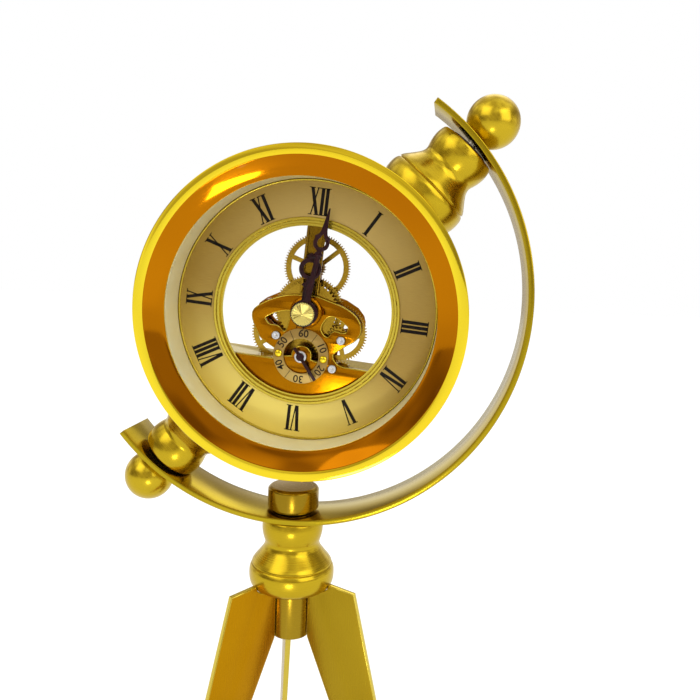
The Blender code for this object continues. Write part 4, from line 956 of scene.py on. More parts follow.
def toothed_tree() -> Growth:
    """Tree that grows a toothed plate, with windows between spokes or with teeth round a bore."""
    growth = Growth("toothed_plate", ("Teeth", "Spokes"), (
        "Root", "Tip", "Rim", "Hub", "Spoke Width", "Spoke Turn", "Outside", "Low", "High", "Phase"))
    index, teeth = growth.index(), growth.size("Teeth")
    corner = growth.math("MODULO", index, 4.0)
    root = corner > 1.5
    share = growth.between(root, corner * 2 * TIP_SHARE - TIP_SHARE, (corner - 2.0) * ROOT_SHARE + ROOT_START)
    turn = (growth.math("FLOOR", index / 4.0) + share) / teeth
    radius = growth.between(root, growth.size("Tip"), growth.size("Root"))
    outline = growth.circled(teeth * 4.0, growth.polar(radius, turn * tau + growth.size("Phase")))

    rim, hub = growth.size("Rim"), growth.size("Hub")
    inner = index > WINDOW_STEPS - 0.5
    along = growth.math("MODULO", index, WINDOW_STEPS) / (WINDOW_STEPS - 1)
    step = growth.math("DIVIDE", tau, growth.math("MAXIMUM", growth.size("Spokes"), 1.0))
    half_width = growth.size("Spoke Width") / 2.0
    trim_out, trim_in = half_width / rim, half_width / hub
    far = trim_out + along * (step - trim_out * 2.0)
    near = step - trim_in - along * (step - trim_in * 2.0)
    window = growth.circled(2 * WINDOW_STEPS, growth.polar(growth.between(inner, rim, hub),
                                                           growth.between(inner, far, near)))
    posts = growth.add("GeometryNodePoints", {"Count": growth.size("Spokes")})
    windows = growth.add("GeometryNodeRealizeInstances", {
        0: growth.swung(posts, window, index * step + growth.size("Spoke Turn"))})

    outside = growth.size("Outside")
    around = growth.add("GeometryNodeCurvePrimitiveCircle", {"Resolution": ROUND_STEPS, "Radius": outside})
    around = growth.add("GeometryNodeSwitch", {0: outside > TINY, 2: around}, input_type="GEOMETRY")
    sheet = growth.add("GeometryNodeFillCurve", {0: growth.together(outline, windows, around)})
    low = growth.size("Low")
    raised = growth.add("GeometryNodeExtrudeMesh", {
        "Mesh": sheet, "Offset": growth.vector(z=growth.size("High") - low), "Offset Scale": 1.0,
        "Individual": False})
    back = growth.add("GeometryNodeFlipFaces", {0: sheet})
    growth.finish(growth.lifted(growth.together(raised, back), low))
    return growth


def bar_tree() -> Growth:
    """Tree that sets bars round a circle, each pointing outwards."""
    growth = Growth("bars_round_a_circle", ("Count",), ("Circle", "Length", "Width", "Thickness", "Height"))
    count = growth.size("Count")
    angle = growth.index() * growth.math("DIVIDE", tau, count)
    posts = growth.add("GeometryNodeSetPosition", {
        "Geometry": growth.add("GeometryNodePoints", {"Count": count}),
        "Position": growth.polar(growth.size("Circle"), angle)})
    bar = growth.add("GeometryNodeMeshCube", {
        "Size": growth.vector(growth.size("Length"), growth.size("Width"), growth.size("Thickness"))})
    growth.finish(growth.lifted(growth.swung(posts, bar, angle), growth.size("Height")))
    return growth


def rib_tree() -> Growth:
    """Tree that sets equal ribs side by side along x."""
    growth = Growth("ribs_in_a_row", ("Count",), ("Pitch", "Length", "Width", "Rise"))
    row = growth.add("GeometryNodeMeshLine", {
        "Count": growth.size("Count"), "Offset": growth.vector(growth.size("Pitch"))})
    rib = growth.add("GeometryNodeMeshCube", {
        "Size": growth.vector(growth.size("Width"), growth.size("Length"), growth.size("Rise"))})
    growth.finish(growth.add("GeometryNodeInstanceOnPoints", {"Points": row, "Instance": rib}))
    return growth


TOOTHED = toothed_tree()
BARS = bar_tree()
RIBS = rib_tree()


def toothed_band(name: str, axes: Axes, dress: bpy.types.Material, teeth: int, root: float, tip: float,
                 low: float, high: float, outside: float = 0.0) -> bpy.types.Object:
    """Grow a fluted disc, or a ring with teeth round its bore.

    Args:
        name: Name of the piece.
        axes: Axes that it is grown in.
        dress: Its material.
        teeth: How many teeth it has.
        root: Radius between its teeth.
        tip: Radius at their tips.
        low: Height of its back.
        high: Height of its face.
        outside: Outer radius of a ring, or nought for a disc.

    Returns:
        The new object.
    """
    return TOOTHED.grow(name, axes, dress, Teeth=teeth, Root=root, Tip=tip, Rim=1.0, Hub=1.0, Spokes=0,
                        Spoke_Width=0.0, Spoke_Turn=0.0, Outside=outside, Low=low, High=high, Phase=0.0)


@dataclass
class Tripod:
    """Three sheet legs round a hub, the turned collar above them and the clamp of the arm."""
    leg_height: float = 123.0 * MM
    top_reach: float = 28.5 * MM
    ear_rise: float = 2.6 * MM
    ear_slope: float = 1.7 * MM
    foot_reach: float = 59.8 * MM
    foot_width: float = 7.6 * MM
    thickness: float = 2.4 * MM
    edge: float = 0.35 * MM
    nut_round: float = 0.8 * MM
    nut_chamfer: float = 0.10
    nut_edge: float = 0.5 * MM
    screw_head: float = 4.0 * MM
    turns: tuple = (("leg_front_left", radians(-45)), ("leg_front_right", radians(75)), ("leg_rear", radians(195)))

    def build(self) -> None:
        """Build the legs, the hub, the collar, the screw, the washer and the nut."""
        brass = SATIN_BRASS.material(STAND)
        hub = measure("tripod_hub", STAND)
        self.legs(hub)
        # The hub gets the darker copy of the brass: painted shade between the legs.
        mount(revolve("hub_between_legs", hub.ring(), STAND, self.edge), "stand", SHADE_PAINTED_BRASS.material(STAND),
              "satin_brass", "tripod_hub")
        self.collar(brass)
        self.clamp()

    def legs(self, hub: Extent) -> None:
        """Build the three sheet legs."""
        inner = hub.outer + GAP
        collar = measure("base_collar", STAND)
        ear = self.leg_height + self.ear_rise
        near = GAP / 3
        seats = [(radius + near, collar.high - place - near)
                 for place, radius in Spindles.pattern(collar.high - collar.low, collar.outer)
                 if collar.high - place < ear + self.ear_slope]
        outline = [(inner, hub.low), (self.foot_reach - self.foot_width, 0), (self.foot_reach, 0),
                   (self.top_reach, ear), (seats[0][0], ear + self.ear_slope), *seats,
                   (inner, self.leg_height)]
        for node, turn in self.turns:
            out = Vector((sin(turn), -cos(turn), 0))
            up = Vector((0, 0, 1))
            axes = Axes(STAND.origin, out, up, out.cross(up))
            leg = plate(node + "_sheet", [outline], -self.thickness / 2, self.thickness / 2, axes, self.edge)
            # The left front leg gets the orange copy of the drawn brass: painted reflection on one leg of the same
            # metal.
            finish = REFLECTION_TINTED_BRASS if turn < 0 else DRAWN_BRASS
            recoloured_sides(mount(leg, "stand", finish.material(axes), "satin_brass", node), axes,
                    RING_GOLD.material(axes))

    def collar(self, brass: bpy.types.Material) -> None:
        """Build the turned collar, plain end up."""
        size = measure("base_collar", STAND)
        profile = Spindles.pattern(size.high - size.low, size.outer)
        profile = [(radius, size.high - place) for place, radius in profile]
        profile += [(size.inner, size.low), (size.inner, size.high)]
        mount(revolve("collar_turned", profile, STAND, FINE_EDGE), "stand", brass, "satin_brass", "base_collar")

    def clamp(self) -> None:
        """Build the screw, the washer and the cap nut."""
        washer = measure("clamp_washer", STAND)
        # The clamp washer gets the near-black copy of the brass: a painted shadow line at the clamp of the arm.
        mount(revolve("clamp_washer_turned", washer.ring(), STAND, THIN_EDGE, SMALL_ROUND_STEPS), "stand",
              SHADOW_LINE_BRASS.material(STAND), "satin_brass", "clamp_washer")
        nut = measure("cap_nut", STAND)
        reach = nut.outer + self.nut_round
        chamfer = reach * self.nut_chamfer
        screw = measure("clamp_screw", STAND)
        shank = washer.inner - GAP
        head = screw.low + self.screw_head
        # The cap nut gets the darker copy of the brass: painted shade.
        mount(revolve("cap_nut_turned", [
            (0, nut.high), (reach - chamfer, nut.high), (reach, nut.high - chamfer), (reach, nut.low),
            (washer.inner, nut.low), (washer.inner, screw.high + GAP), (0, screw.high + GAP),
        ], STAND, self.nut_edge), "stand", SHADE_PAINTED_BRASS.material(STAND), "satin_brass", "cap_nut")
        mount(revolve("clamp_screw_turned", [
            (0, screw.high), (shank, screw.high), (shank, head), (screw.outer, head), (screw.outer, screw.low),
            (0, screw.low),
        ], STAND, SOFT_EDGE, SMALL_ROUND_STEPS), "stand", STEEL.material(STAND), "steel", "clamp_screw")


@dataclass
class MeridianArm:
    """Rolled strip that carries the two trunnions."""
    radius: float = 90.3 * MM
    thickness: float = 2.27 * MM
    start: float = radians(-140.3)
    end: float = radians(55.0)
    steps: int = 260
    edge: float = 0.4 * MM
    stud_bore: float = 2.3 * MM
    clamp_bore: float = 3.3 * MM
    reach: float = 6.0 * MM

    def build(self) -> None:
        """Build the strip with its three holes."""
        low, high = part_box("meridian_arm")
        centre = Vector((high.x - self.radius, (low.y + high.y) / 2, low.z + self.radius))
        axes = Axes(centre, Vector((1, 0, 0)), Vector((0, 0, 1)), Vector((0, -1, 0)))
        inner = self.radius - self.thickness
        outline = arc(self.radius, self.start, self.end, self.steps)
        outline += arc(inner, self.end, self.start, self.steps)
        half = (high.y - low.y) / 2
        strip = plate("arm_strip", [outline], -half, half, axes, self.edge)
        cutters = [self.bore(name + "_bore", line, self.stud_bore, measure(name + "_pivot_washer", line).high)
                   for name, line in SIDES]
        cutters.append(self.bore("clamp_bore", STAND, self.clamp_bore, low.z - self.reach / 2))
        mount(bored(strip, cutters), "stand", ROLLED_BRASS.material(axes), "satin_brass", "meridian_arm")

    def bore(self, name: str, axes: Axes, radius: float, low: float) -> bpy.types.Object:
        """Cutter for one hole of the strip."""
        return revolve(name, Extent(low, low + self.reach, radius, 0).rod(), axes, 0, SMALL_ROUND_STEPS)


@dataclass
class Spindles:
    """Turned spindles of the head, and the studs, washers and ball finials of the arm."""
    ball: float = 10.05 * MM
    flat_drop: float = 8.2 * MM
    neck: float = 5.6 * MM
    tenon: float = 3.0 * MM

    @staticmethod
    def pattern(length: float, radius: float) -> list[Point]:
        """The turned pattern that the spindles share with the collar.

        Args:
            length: Its length.
            radius: Its largest radius.

        Returns:
            (place, radius) points from the plain end to the beaded end.
        """
        plain_shares = [(0.0, 0.655), (0.015, 0.678), (0.045, 0.694), (0.110, 0.711), (0.180, 0.706),
                        (0.250, 0.682), (0.313, 0.648)]
        waist_shares = [(0.320, 0.644), (0.360, 0.642), (0.410, 0.672), (0.460, 0.730), (0.520, 0.812),
                        (0.575, 0.890), (0.615, 0.935)]
        groove_shares = [(0.628, 0.941), (0.634, 0.918), (0.643, 0.922)]
        bulge_shares = [(0.656, 0.955), (0.700, 0.988), (0.770, 1.000), (0.850, 0.990), (0.915, 0.955),
                        (0.955, 0.895), (0.985, 0.800), (1.0, 0.720)]
        runs = [eased(run) for run in (plain_shares, waist_shares, groove_shares, bulge_shares)]
        return [(place * length, share * radius) for run in runs for place, share in run]

    def build(self) -> None:
        """Build both sides."""
        for name, line in SIDES:
            brass = SATIN_BRASS.material(line)
            self.spindle(name, line, brass)
            self.finial(name, line, brass)
            self.stud(name, line)

    def spindle(self, name: str, line: Axes, brass: bpy.types.Material) -> None:
        """Build one spindle with its bore and its tenon."""
        size = measure(name + "_spindle", line)
        foot = measure("case_drum", DIAL).outer + GAP
        bore = measure(name + "_pivot_washer", line).inner
        stud = measure(name + "_pivot_stud", line)
        length = size.high - foot
        profile = [(0, stud.low - GAP), (bore, stud.low - GAP), (bore, size.high)]
        profile += [(radius, size.high - place) for place, radius in self.pattern(length, size.outer)]
        profile += [(self.tenon, foot), (self.tenon, size.low), (0, size.low)]
        mount(revolve(name + "_spindle_turned", profile, line, FINE_EDGE), "head", brass, "satin_brass",
              name + "_spindle")

    def finial(self, name: str, line: Axes, brass: bpy.types.Material) -> None:
        """Build one ball finial on its short neck."""
        size = measure(name + "_finial", line)
        stud = measure(name + "_pivot_stud", line)
        bore = measure(name + "_pivot_washer", line).inner
        centre = size.low + self.flat_drop
        profile = [(0, centre + self.ball)]
        profile += arc(self.ball, pi / 2, -acos(self.neck / self.ball), 40, (0, centre))[1:]
        profile += [(self.neck, size.low), (bore, size.low), (bore, stud.high + GAP), (0, stud.high + GAP)]
        mount(revolve(name + "_ball", profile, line, FINE_EDGE), "stand", brass, "satin_brass",
              name + "_finial")

    def stud(self, name: str, line: Axes) -> None:
        """Build one pivot stud and its washer."""
        stud = measure(name + "_pivot_stud", line)
        mount(revolve(name + "_stud_turned", stud.rod(), line, SOFT_EDGE, SMALL_ROUND_STEPS), "stand",
              STEEL.material(line), "steel", name + "_pivot_stud")
        washer = measure(name + "_pivot_washer", line)
        mount(revolve(name + "_washer_turned", washer.ring(), line, FINE_EDGE), "stand",
              BLACK_PLASTIC.material(line), "black_plastic", name + "_pivot_washer")


@dataclass
class Case:
    """Bezel, drum, front glass and reflector."""
    rim: float = 3.8 * MM
    cove: float = 3.1 * MM
    cove_steps: int = 24
    hollow: float = 1.22
    glass_setback: float = 3.6 * MM
    chamfer: float = 1.2 * MM
    spigot_wall: float = 0.9 * MM
    wall: float = 2.5 * MM
    step: float = 3.0 * MM
    tenon_bore: float = 3.3 * MM
    edge: float = 0.4 * MM

    def build(self) -> None:
        """Build the case."""
        drum = measure("case_drum", DIAL)
        self.bezel(drum)
        self.drum(drum)
        self.front_glass()
        reflector = measure("reflector_ring", DIAL)
        mount(revolve("reflector_turned", reflector.ring(), DIAL, SOFT_EDGE), "head", CREAM.material(DIAL),
              "cream_reflector", "reflector_ring")

    def bezel(self, drum: Extent) -> None:
        """Build the bezel: flat rim, beaded inner edge, deep cove and lip over the glass."""
        size = measure("bezel_ring", DIAL)
        front, back = size.high, drum.high + GAP
        opening = size.inner
        rim_inner = size.outer - self.rim
        spigot = drum.outer - self.wall - GAP
        inside = spigot - self.spigot_wall
        seat = front - self.glass_setback
        foot = front - self.cove
        profile = [(size.outer, front), (size.outer, back + self.chamfer), (size.outer - self.chamfer, back),
                   (spigot, back), (spigot, size.low), (inside, size.low), (inside, seat), (opening, seat),
                   (opening, foot)]
        width = rim_inner - opening
        steps = self.cove_steps
        cove = [(opening + width * k / steps, foot + self.cove * (k / steps) ** self.hollow)
                for k in range(1, steps)]
        profile = softened(profile + cove + [(rim_inner, front)], self.edge)
        ring = revolve("bezel_spun", profile, DIAL, 0, FULL_ROUND_STEPS)
        mount(ring, "head", POLISHED_GOLD.material(DIAL), "polished_gold", "bezel_ring")
        # The cove's faces get the darker orange copy of the gold: painted reflection.
        ring.data.materials.append(COVE_REFLECTION_GOLD.material(DIAL))
        back = DIAL.matrix().inverted()
        for face in ring.data.polygons:
            middle = back @ face.center
            if opening < hypot(middle.x, middle.y) < rim_inner - TINY and foot < middle.z < front - TINY:
                face.material_index = 1

    def drum(self, drum: Extent) -> None:
        """Build the drum with its shoulder for the dial and its two tenon holes."""
        bore = drum.outer - self.wall
        inner = bore - self.step
        shoulder = measure("chapter_ring", DIAL).low - GAP
        shell = revolve("drum_turned", [
            (drum.outer, drum.high), (drum.outer, drum.low), (inner, drum.low), (inner, shoulder),
            (bore, shoulder), (bore, drum.high),
        ], DIAL, self.edge, FULL_ROUND_STEPS)
        hole = Extent(inner - self.wall, drum.outer + self.wall, self.tenon_bore, 0)
        cutters = [revolve(name + "_tenon_bore", hole.rod(), line, 0, SMALL_ROUND_STEPS) for name, line in SIDES]
        mount(bored(shell, cutters), "head", CASE_GOLD.material(DIAL), "case_gold", "case_drum")

    def front_glass(self) -> None:
        """Build the front glass."""
        glass = measure("front_glass", DIAL)
        mount(revolve("front_glass_disc", glass.rod(), DIAL, SOFT_EDGE), "head", GlassFinish().material(DIAL),
              "clear_glass", "front_glass")


@dataclass
class Back:
    """Rear cover with its window and screws, rear glass, battery door and cell."""
    opening: float = 44.0 * MM
    chord: float = -21.8 * MM
    glass_lap: float = 1.5 * MM
    knob_bore: float = 1.1 * MM
    edge: float = 0.4 * MM
    screw_circle: float = 50.5 * MM
    screw_radius: float = 2.0 * MM
    screw_rise: float = 0.8 * MM
    screw_turns: tuple[float, ...] = (radians(40), radians(140), radians(215), radians(325))
    screw_steps: int = 8
    slot_width: float = 0.5 * MM
    ribs: int = 9
    rib_pitch: float = 1.6 * MM
    rib_length: float = 4.0 * MM
    rib_width: float = 0.6 * MM
    door_edge: float = 0.35 * MM
    nub: float = 1.9 * MM
    nub_rise: float = 1.0 * MM

    def window(self, grow: float) -> list[Point]:
        """D-shaped outline, grown by a lap."""
        radius = self.opening + grow
        chord = self.chord - grow
        start = atan2(chord, sqrt(radius ** 2 - chord ** 2))
        return arc(radius, start, pi - start, 96)

    def build(self) -> None:
        """Build the back of the case."""
        gold = CASE_GOLD.material(DIAL)
        cover = measure("rear_cover", DIAL)
        low, high = self.bay()
        bay = [(low.x, low.y), (high.x, low.y), (high.x, high.y), (low.x, high.y)]
        knob = seat_of("setting_turn")
        sheet = plate("rear_cover_spun", [circle(cover.outer, 180), self.window(0), bay,
                                          circle(self.knob_bore, SMALL_ROUND_STEPS, knob)],
                      cover.low, cover.high, DIAL, self.edge)
        mount(sheet, "head", gold, "case_gold", "rear_cover")
        glass = measure("rear_glass", DIAL)
        mount(plate("rear_glass_pane", [self.window(self.glass_lap)], glass.low, glass.high, DIAL, CUT_EDGE),
              "head", GlassFinish().material(DIAL), "clear_glass", "rear_glass")
        self.screws(cover)
        self.door()
        self.cell()

    def bay(self) -> tuple[Vector, Vector]:
        """Corners of the cell bay on the dial plane."""
        low, high = corners_of("battery_door")
        return Vector(low) - Vector((GAP, GAP)), Vector(high) + Vector((GAP, GAP))

    def screws(self, cover: Extent) -> None:
        """Build the cover's slotted screws."""
        heads = []
        for k, turn in enumerate(self.screw_turns):
            axes = DIAL.moved(on_circle(self.screw_circle, turn), cover.low).flipped()
            bends = [pi / 2 * step / self.screw_steps for step in range(self.screw_steps)]
            dome = [(self.screw_radius * sin(bend), self.screw_rise * cos(bend) ** 0.7) for bend in bends]
            head = revolve(f"cover_screw_{k}", dome + [(self.screw_radius, 0), (0, 0)], axes, 0, 32)
            reach, half = 1.5 * self.screw_radius, self.slot_width / 2
            slot = plate(f"slot_{k}", [[(-reach, -half), (reach, -half), (reach, half), (-reach, half)]],
                         self.screw_rise / 2, self.screw_radius, axes.turned(radians(25) * (k + 1)))
            heads.append(bored(head, [slot]))
        mount(joined("cover_screws", heads), "head", STEEL.material(DIAL), "steel")

    def door(self) -> None:
        """Build the battery door and its grip ribs."""
        gold = CASE_GOLD.material(DIAL)
        mount(refined("battery_door_moulded", "battery_door", self.door_edge), "door", gold, "case_gold",
              "battery_door")
        low, high = self.bay()
        size = measure("battery_door", DIAL)
        first = (low.x + high.x - self.rib_pitch * (self.ribs - 1)) / 2
        axes = DIAL.moved((first, high.y - self.rib_length), size.low)
        ribs = RIBS.grow("battery_door_ribs", axes, gold, Count=self.ribs, Pitch=self.rib_pitch,
                         Length=self.rib_length, Width=self.rib_width, Rise=self.rib_width)
        mount(ribs, "door", gold, "case_gold")

    def cell(self) -> None:
        """Build the cell, its contacts and its cradle."""
        low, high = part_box("cell")
        axes = Axes((low + high) / 2, DIAL.y, DIAL.z, DIAL.x)
        size = measure("cell", axes)
        shoulder = size.high - self.nub_rise
        mount(revolve("cell_sleeve", [
            (0, size.high), (self.nub, size.high), (self.nub, shoulder), (size.outer, shoulder),
            (size.outer, size.low), (0, size.low),
        ], axes, self.edge, SMALL_ROUND_STEPS), "head", CELL_JACKET.material(axes), "cell_jacket", "cell")
        dress_node("cell_cradle", BLACK_PLASTIC.material(DIAL))
        for node in ("positive_contact", "negative_contact"):
            dress_node(node, STEEL.material(DIAL))


@dataclass
class Dial:
    """Chapter ring with its numerals, its raised outer bead and its stepped inner rim."""
    bead: float = 0.40 * MM
    bead_gap: float = 0.05 * MM
    rim_bead: float = 0.55 * MM
    rim_bevel: float = 0.2 * MM
    ledge_drop: float = 0.7 * MM
    numeral_low: float = 36.4 * MM
    numeral_high: float = 46.5 * MM
    thick: float = 1.25 * MM
    thin: float = 0.46 * MM
    serif: float = 0.5 * MM
    serif_rise: float = 0.32 * MM
    print_rise: float = 0.05 * MM
    bar_advance: float = 1.72 * MM
    vee_width: float = 3.7 * MM
    ex_width: float = 4.0 * MM
    vee_foot: float = 0.52
    thick_inset: float = 0.6
    thin_inset: float = 1.2
    knurls: int = 260
    knurl_root: float = 0.12 * MM
    knurl_tip: float = 0.08 * MM
    knurl_wall: float = 0.3 * MM
    knurl_drop: float = 0.15 * MM

    def build(self) -> None:
        """Build the dial ring and what lies on it."""
        ring = measure("chapter_ring", DIAL)
        dress = SpunDialFinish().material(DIAL)
        mount(revolve("chapter_ring_sheet", ring.ring(), DIAL, THIN_EDGE), "head", dress, "champagne_dial",
              "chapter_ring")
        outer = measure("reflector_ring", DIAL).inner - self.bead_gap
        gold = RING_GOLD.material(DIAL)
        bead = arc(self.bead, 0, pi, 8, (outer - self.bead, ring.high))
        mount(revolve("dial_outer_bead", bead, DIAL), "head", gold, "polished_gold")
        self.rim(gold)
        self.numerals(ring.high)

    def rim(self, gold: bpy.types.Material) -> None:
        """Build the stepped inner rim with its knurled wall."""
        size = measure("dial_inner_rim", DIAL)
        dial = measure("chapter_ring", DIAL)
        groove = dial.inner - GAP
        step = (groove - size.inner) / 2
        ledge = dial.high - self.ledge_drop
        face = dial.high + GAP
        top = size.high
        bead = arc(self.rim_bead, 0, pi, 10, (size.outer - self.rim_bead, face))
        profile = [(size.outer, face)] + [(x, min(y, top)) for x, y in bead]
        profile += [(groove - step + self.rim_bevel, face), (groove - step, top), (groove - step, ledge),
                    (size.inner, ledge), (size.inner, size.low), (groove, size.low), (groove, face)]
        mount(revolve("inner_rim_turned", profile, DIAL), "head", gold, "polished_gold", "dial_inner_rim")
        knurl = toothed_band("inner_rim_knurl", DIAL, gold, self.knurls, size.inner + self.knurl_root,
                             size.inner - self.knurl_tip, size.low + self.rim_bevel,
                             ledge - self.knurl_drop, size.inner + self.knurl_wall)
        mount(knurl, "head", gold, "polished_gold")

    def stroke(self, foot: Point, head: Point, width: float) -> list[Point]:
        """Four corners of a stroke between its middle points."""
        half = width / 2
        return [(foot[0] - half, foot[1]), (foot[0] + half, foot[1]), (head[0] + half, head[1]),
                (head[0] - half, head[1])]

    def glyph(self, letter: str, left: float, tall: float) -> tuple[list[list[Point]], float]:
        """Strokes of one letter.

        Args:
            letter: I, V or X.
            left: Where it starts.
            tall: Height of the letter.

        Returns:
            Its strokes as outlines, and its width.
        """
        thick, thin = self.thick, self.thin
        if letter == "I":
            width = self.bar_advance
            middle = left + width / 2
            strokes = [self.stroke((middle, 0), (middle, tall), thick)]
            serifs = [(middle, 0, thick), (middle, tall, thick)]
        elif letter == "V":
            width = self.vee_width
            foot = left + width * self.vee_foot
            start, end = left + thick * self.thick_inset, left + width - thin * self.thin_inset
            strokes = [self.stroke((foot - thin / 2, 0), (start, tall), thick),
                       self.stroke((foot + thin / 2, 0), (end, tall), thin)]
            serifs = [(start, tall, thick), (end, tall, thin)]
        else:
            width = self.ex_width
            start, end = left + thick * self.thick_inset, left + width - thick * self.thick_inset
            strokes = [self.stroke((end, 0), (start, tall), thick),
                       self.stroke((start + thin / 2, 0), (end - thin / 2, tall), thin)]
            serifs = [(start, 0, thin), (end, 0, thick), (start, tall, thick), (end, tall, thin)]
        for middle, height, over in serifs:
            half = over / 2 + self.serif
            low = 0 if height == 0 else tall - self.serif_rise
            strokes.append([(middle - half, low), (middle + half, low), (middle + half, low + self.serif_rise),
                            (middle - half, low + self.serif_rise)])
        return strokes, width

    def numerals(self, face: float) -> None:
        """Build the twelve numerals, tops outwards."""
        words = ("XII", "I", "II", "III", "IV", "V", "VI", "VII", "VIII", "IX", "X", "XI")
        widths = {"I": self.bar_advance, "V": self.vee_width, "X": self.ex_width}
        tall = self.numeral_high - self.numeral_low
        shape = bmesh.new()
        for hour, word in enumerate(words):
            turn = tau * hour / len(words)
            out = Vector((sin(turn), cos(turn)))
            side = Vector((cos(turn), -sin(turn)))
            left = -sum(widths[letter] for letter in word) / 2
            for letter in word:
                strokes, width = self.glyph(letter, left, tall)
                left += width
                for stroke in strokes:
                    self.prism(shape, [side * x + out * (y + self.numeral_low) for x, y in stroke], face)
        bmesh.ops.recalc_face_normals(shape, faces=shape.faces)
        piece = piece_from("roman_numerals", worked_mesh(shape, "roman_numerals"), DIAL)
        mount(piece, "head", PRINT_BLACK.material(DIAL), "dark_hand")

    def prism(self, shape: bmesh.types.BMesh, corners: list[Vector], face: float) -> None:
        """Raise one printed stroke from the dial's face."""
        low = [shape.verts.new((*corner, face + TINY * 5)) for corner in corners]
        high = [shape.verts.new((*corner, face + self.print_rise)) for corner in corners]
        shape.faces.new(low)
        shape.faces.new(high)
        for k in range(len(corners)):
            m = (k + 1) % len(corners)
            shape.faces.new((low[k], low[m], high[m], high[k]))


@dataclass
class Movement:
    """Plates, bridge, housing, bushes, pillars and the motor."""
    rivets: tuple = ("third_wheel_bush", "plate_rivet_right", "plate_rivet_lower")
    half_width: float = 21.5 * MM
    segment_radius: float = 49.2 * MM
    chord: float = -19.6 * MM
    edge: float = 0.36 * MM
    bridge_edge: float = 0.22 * MM
    boss_chamfers: tuple = (0.5 * MM, 0.6 * MM, 0.9 * MM)
    rivet_dish: tuple = ((0.0, 0.30 * MM), (0.35 * MM, 0.25 * MM), (0.75 * MM, 0.0))
    rivet_chamfer: float = 0.25 * MM
    rivet_edge: float = 0.08 * MM
    rivet_face: float = 0.86
    post_edge: float = 0.25 * MM
    coil_core: float = 1.3 * MM
    coil_flange: float = 1.2 * MM
    coil_turns: int = 30
    coil_groove: float = 0.12 * MM
    hour_bore: float = 2.4 * MM
    seconds_bore: float = 0.8 * MM
    screw_bore: float = 0.9 * MM
    rivet_bore: float = 1.15 * MM
    seconds_window: float = 7.2 * MM
    seconds_boss: float = 4.0 * MM
    window_start: float = radians(-14)
    window_end: float = radians(187)
    mask_shares: tuple = (
        (-0.116, 0.290), (-0.349, 0.260), (-0.595, 0.172), (-0.814, 0.047), (-0.949, -0.074),
        (-0.977, -0.191), (-0.935, -0.326), (-0.849, -0.474), (-0.763, -0.591), (-0.614, -0.674),
        (-0.512, -0.728))
    mask_right_shares: tuple = (
        (0.572, -0.721), (0.595, -0.674), (0.781, -0.516), (0.926, -0.405), (1.000, -0.279),
        (1.000, -0.158), (0.960, -0.051), (0.842, 0.074), (0.619, 0.181), (0.363, 0.247), (0.149, 0.300))
    fillet_shares: tuple = ((0.793, -0.896), (0.670, -0.864), (0.584, -0.778))
    left_window_shares: tuple = (
        (-0.706, -0.236), (-0.697, -0.188), (-0.530, -0.084), (-0.330, -0.030), (-0.292, -0.075),
        (-0.305, -0.233), (-0.330, -0.354), (-0.365, -0.393), (-0.445, -0.330), (-0.517, -0.304),
        (-0.633, -0.302))
    right_window_shares: tuple = (
        (0.300, -0.270), (0.330, -0.150), (0.420, -0.040), (0.560, -0.055), (0.720, -0.147),
        (0.760, -0.187), (0.737, -0.265), (0.660, -0.288), (0.600, -0.276), (0.520, -0.278),
        (0.465, -0.335), (0.418, -0.395), (0.345, -0.355))

    def build(self) -> None:
        """Build the fixed parts of the movement."""
        gold = WARM_GOLD.material(DIAL)
        self.front_plate(gold)
        self.boss(gold)
        mount(refined("rear_plate_stamped", "rear_plate", FINE_EDGE), "head", gold, "warm_gold_plate",
              "rear_plate")
        mount(refined("top_bridge_folded", "top_bridge", self.bridge_edge), "head", BRIDGE_GOLD.material(DIAL),
              "warm_gold_plate", "top_bridge")
        recoloured_sides(mount(refined("housing_wall", "segment_housing", CUT_EDGE), "head", gold,
                      "warm_gold_plate", "segment_housing"), DIAL, RING_GOLD.material(DIAL))
        for node in ("pillar_upper", "pillar_lower_left", "pillar_lower_right"):
            self.pillar(node, gold)
        for node in self.rivets:
            self.rivet(node)
        self.motor()

    def front_plate(self, gold: bpy.types.Material) -> None:
        """Build the mask-shaped front plate with its windows and holes."""
        size = measure("front_plate", DIAL)
        end = asin(self.chord / self.segment_radius)
        start = -pi - end
        mask, right, fillet = [eased(scaled(shares, self.half_width)) for shares in (
            self.mask_shares, self.mask_right_shares, self.fillet_shares)]
        border = mask + [(mask[-1][0], self.chord)] + arc(self.segment_radius, start, end, 90)
        border += fillet + right
        seconds = seat_of("seconds_turn")
        window = arc(self.seconds_window, self.window_start, self.window_end, 40, seconds)
        window += arc(self.seconds_boss, self.window_end, self.window_start, 30, seconds)
        outlines = [border, window]
        outlines += [eased(scaled(shares, self.half_width), closed=True)
                     for shares in (self.left_window_shares, self.right_window_shares)]
        outlines += [circle(self.hour_bore), circle(self.seconds_bore, 24, seconds)]
        outlines += [circle(self.screw_bore, 24, middle_of(node)) for node in DIAL_SCREWS]
        outlines += [circle(self.rivet_bore, 24, middle_of(node)) for node in self.rivets]
        recoloured_sides(mount(plate("front_plate_stamped", outlines, size.low, size.high, DIAL, self.edge), "head", gold,
                      "warm_gold_plate", "front_plate"), DIAL, RING_GOLD.material(DIAL))

    def boss(self, gold: bpy.types.Material) -> None:
        """Build the raised boss round the hour pipe."""
        size = measure("centre_boss", DIAL)
        dip, bevel, slope = self.boss_chamfers
        mount(revolve("centre_boss_turned", [
            (size.inner, size.high - dip), (size.inner + bevel, size.high), (size.outer - slope, size.high),
            (size.outer, size.high - bevel), (size.outer, size.low), (size.inner, size.low),
        ], DIAL, SOFT_EDGE, 96), "head", gold, "warm_gold_plate", "centre_boss")

    def pillar(self, node: str, gold: bpy.types.Material) -> None:
        """Build a pillar between the plates."""
        axes = DIAL.moved(middle_of(node))
        mount(revolve(node + "_turned", measure(node, axes).rod(), axes, self.post_edge, 32), "head", gold,
              "warm_gold_plate", node)

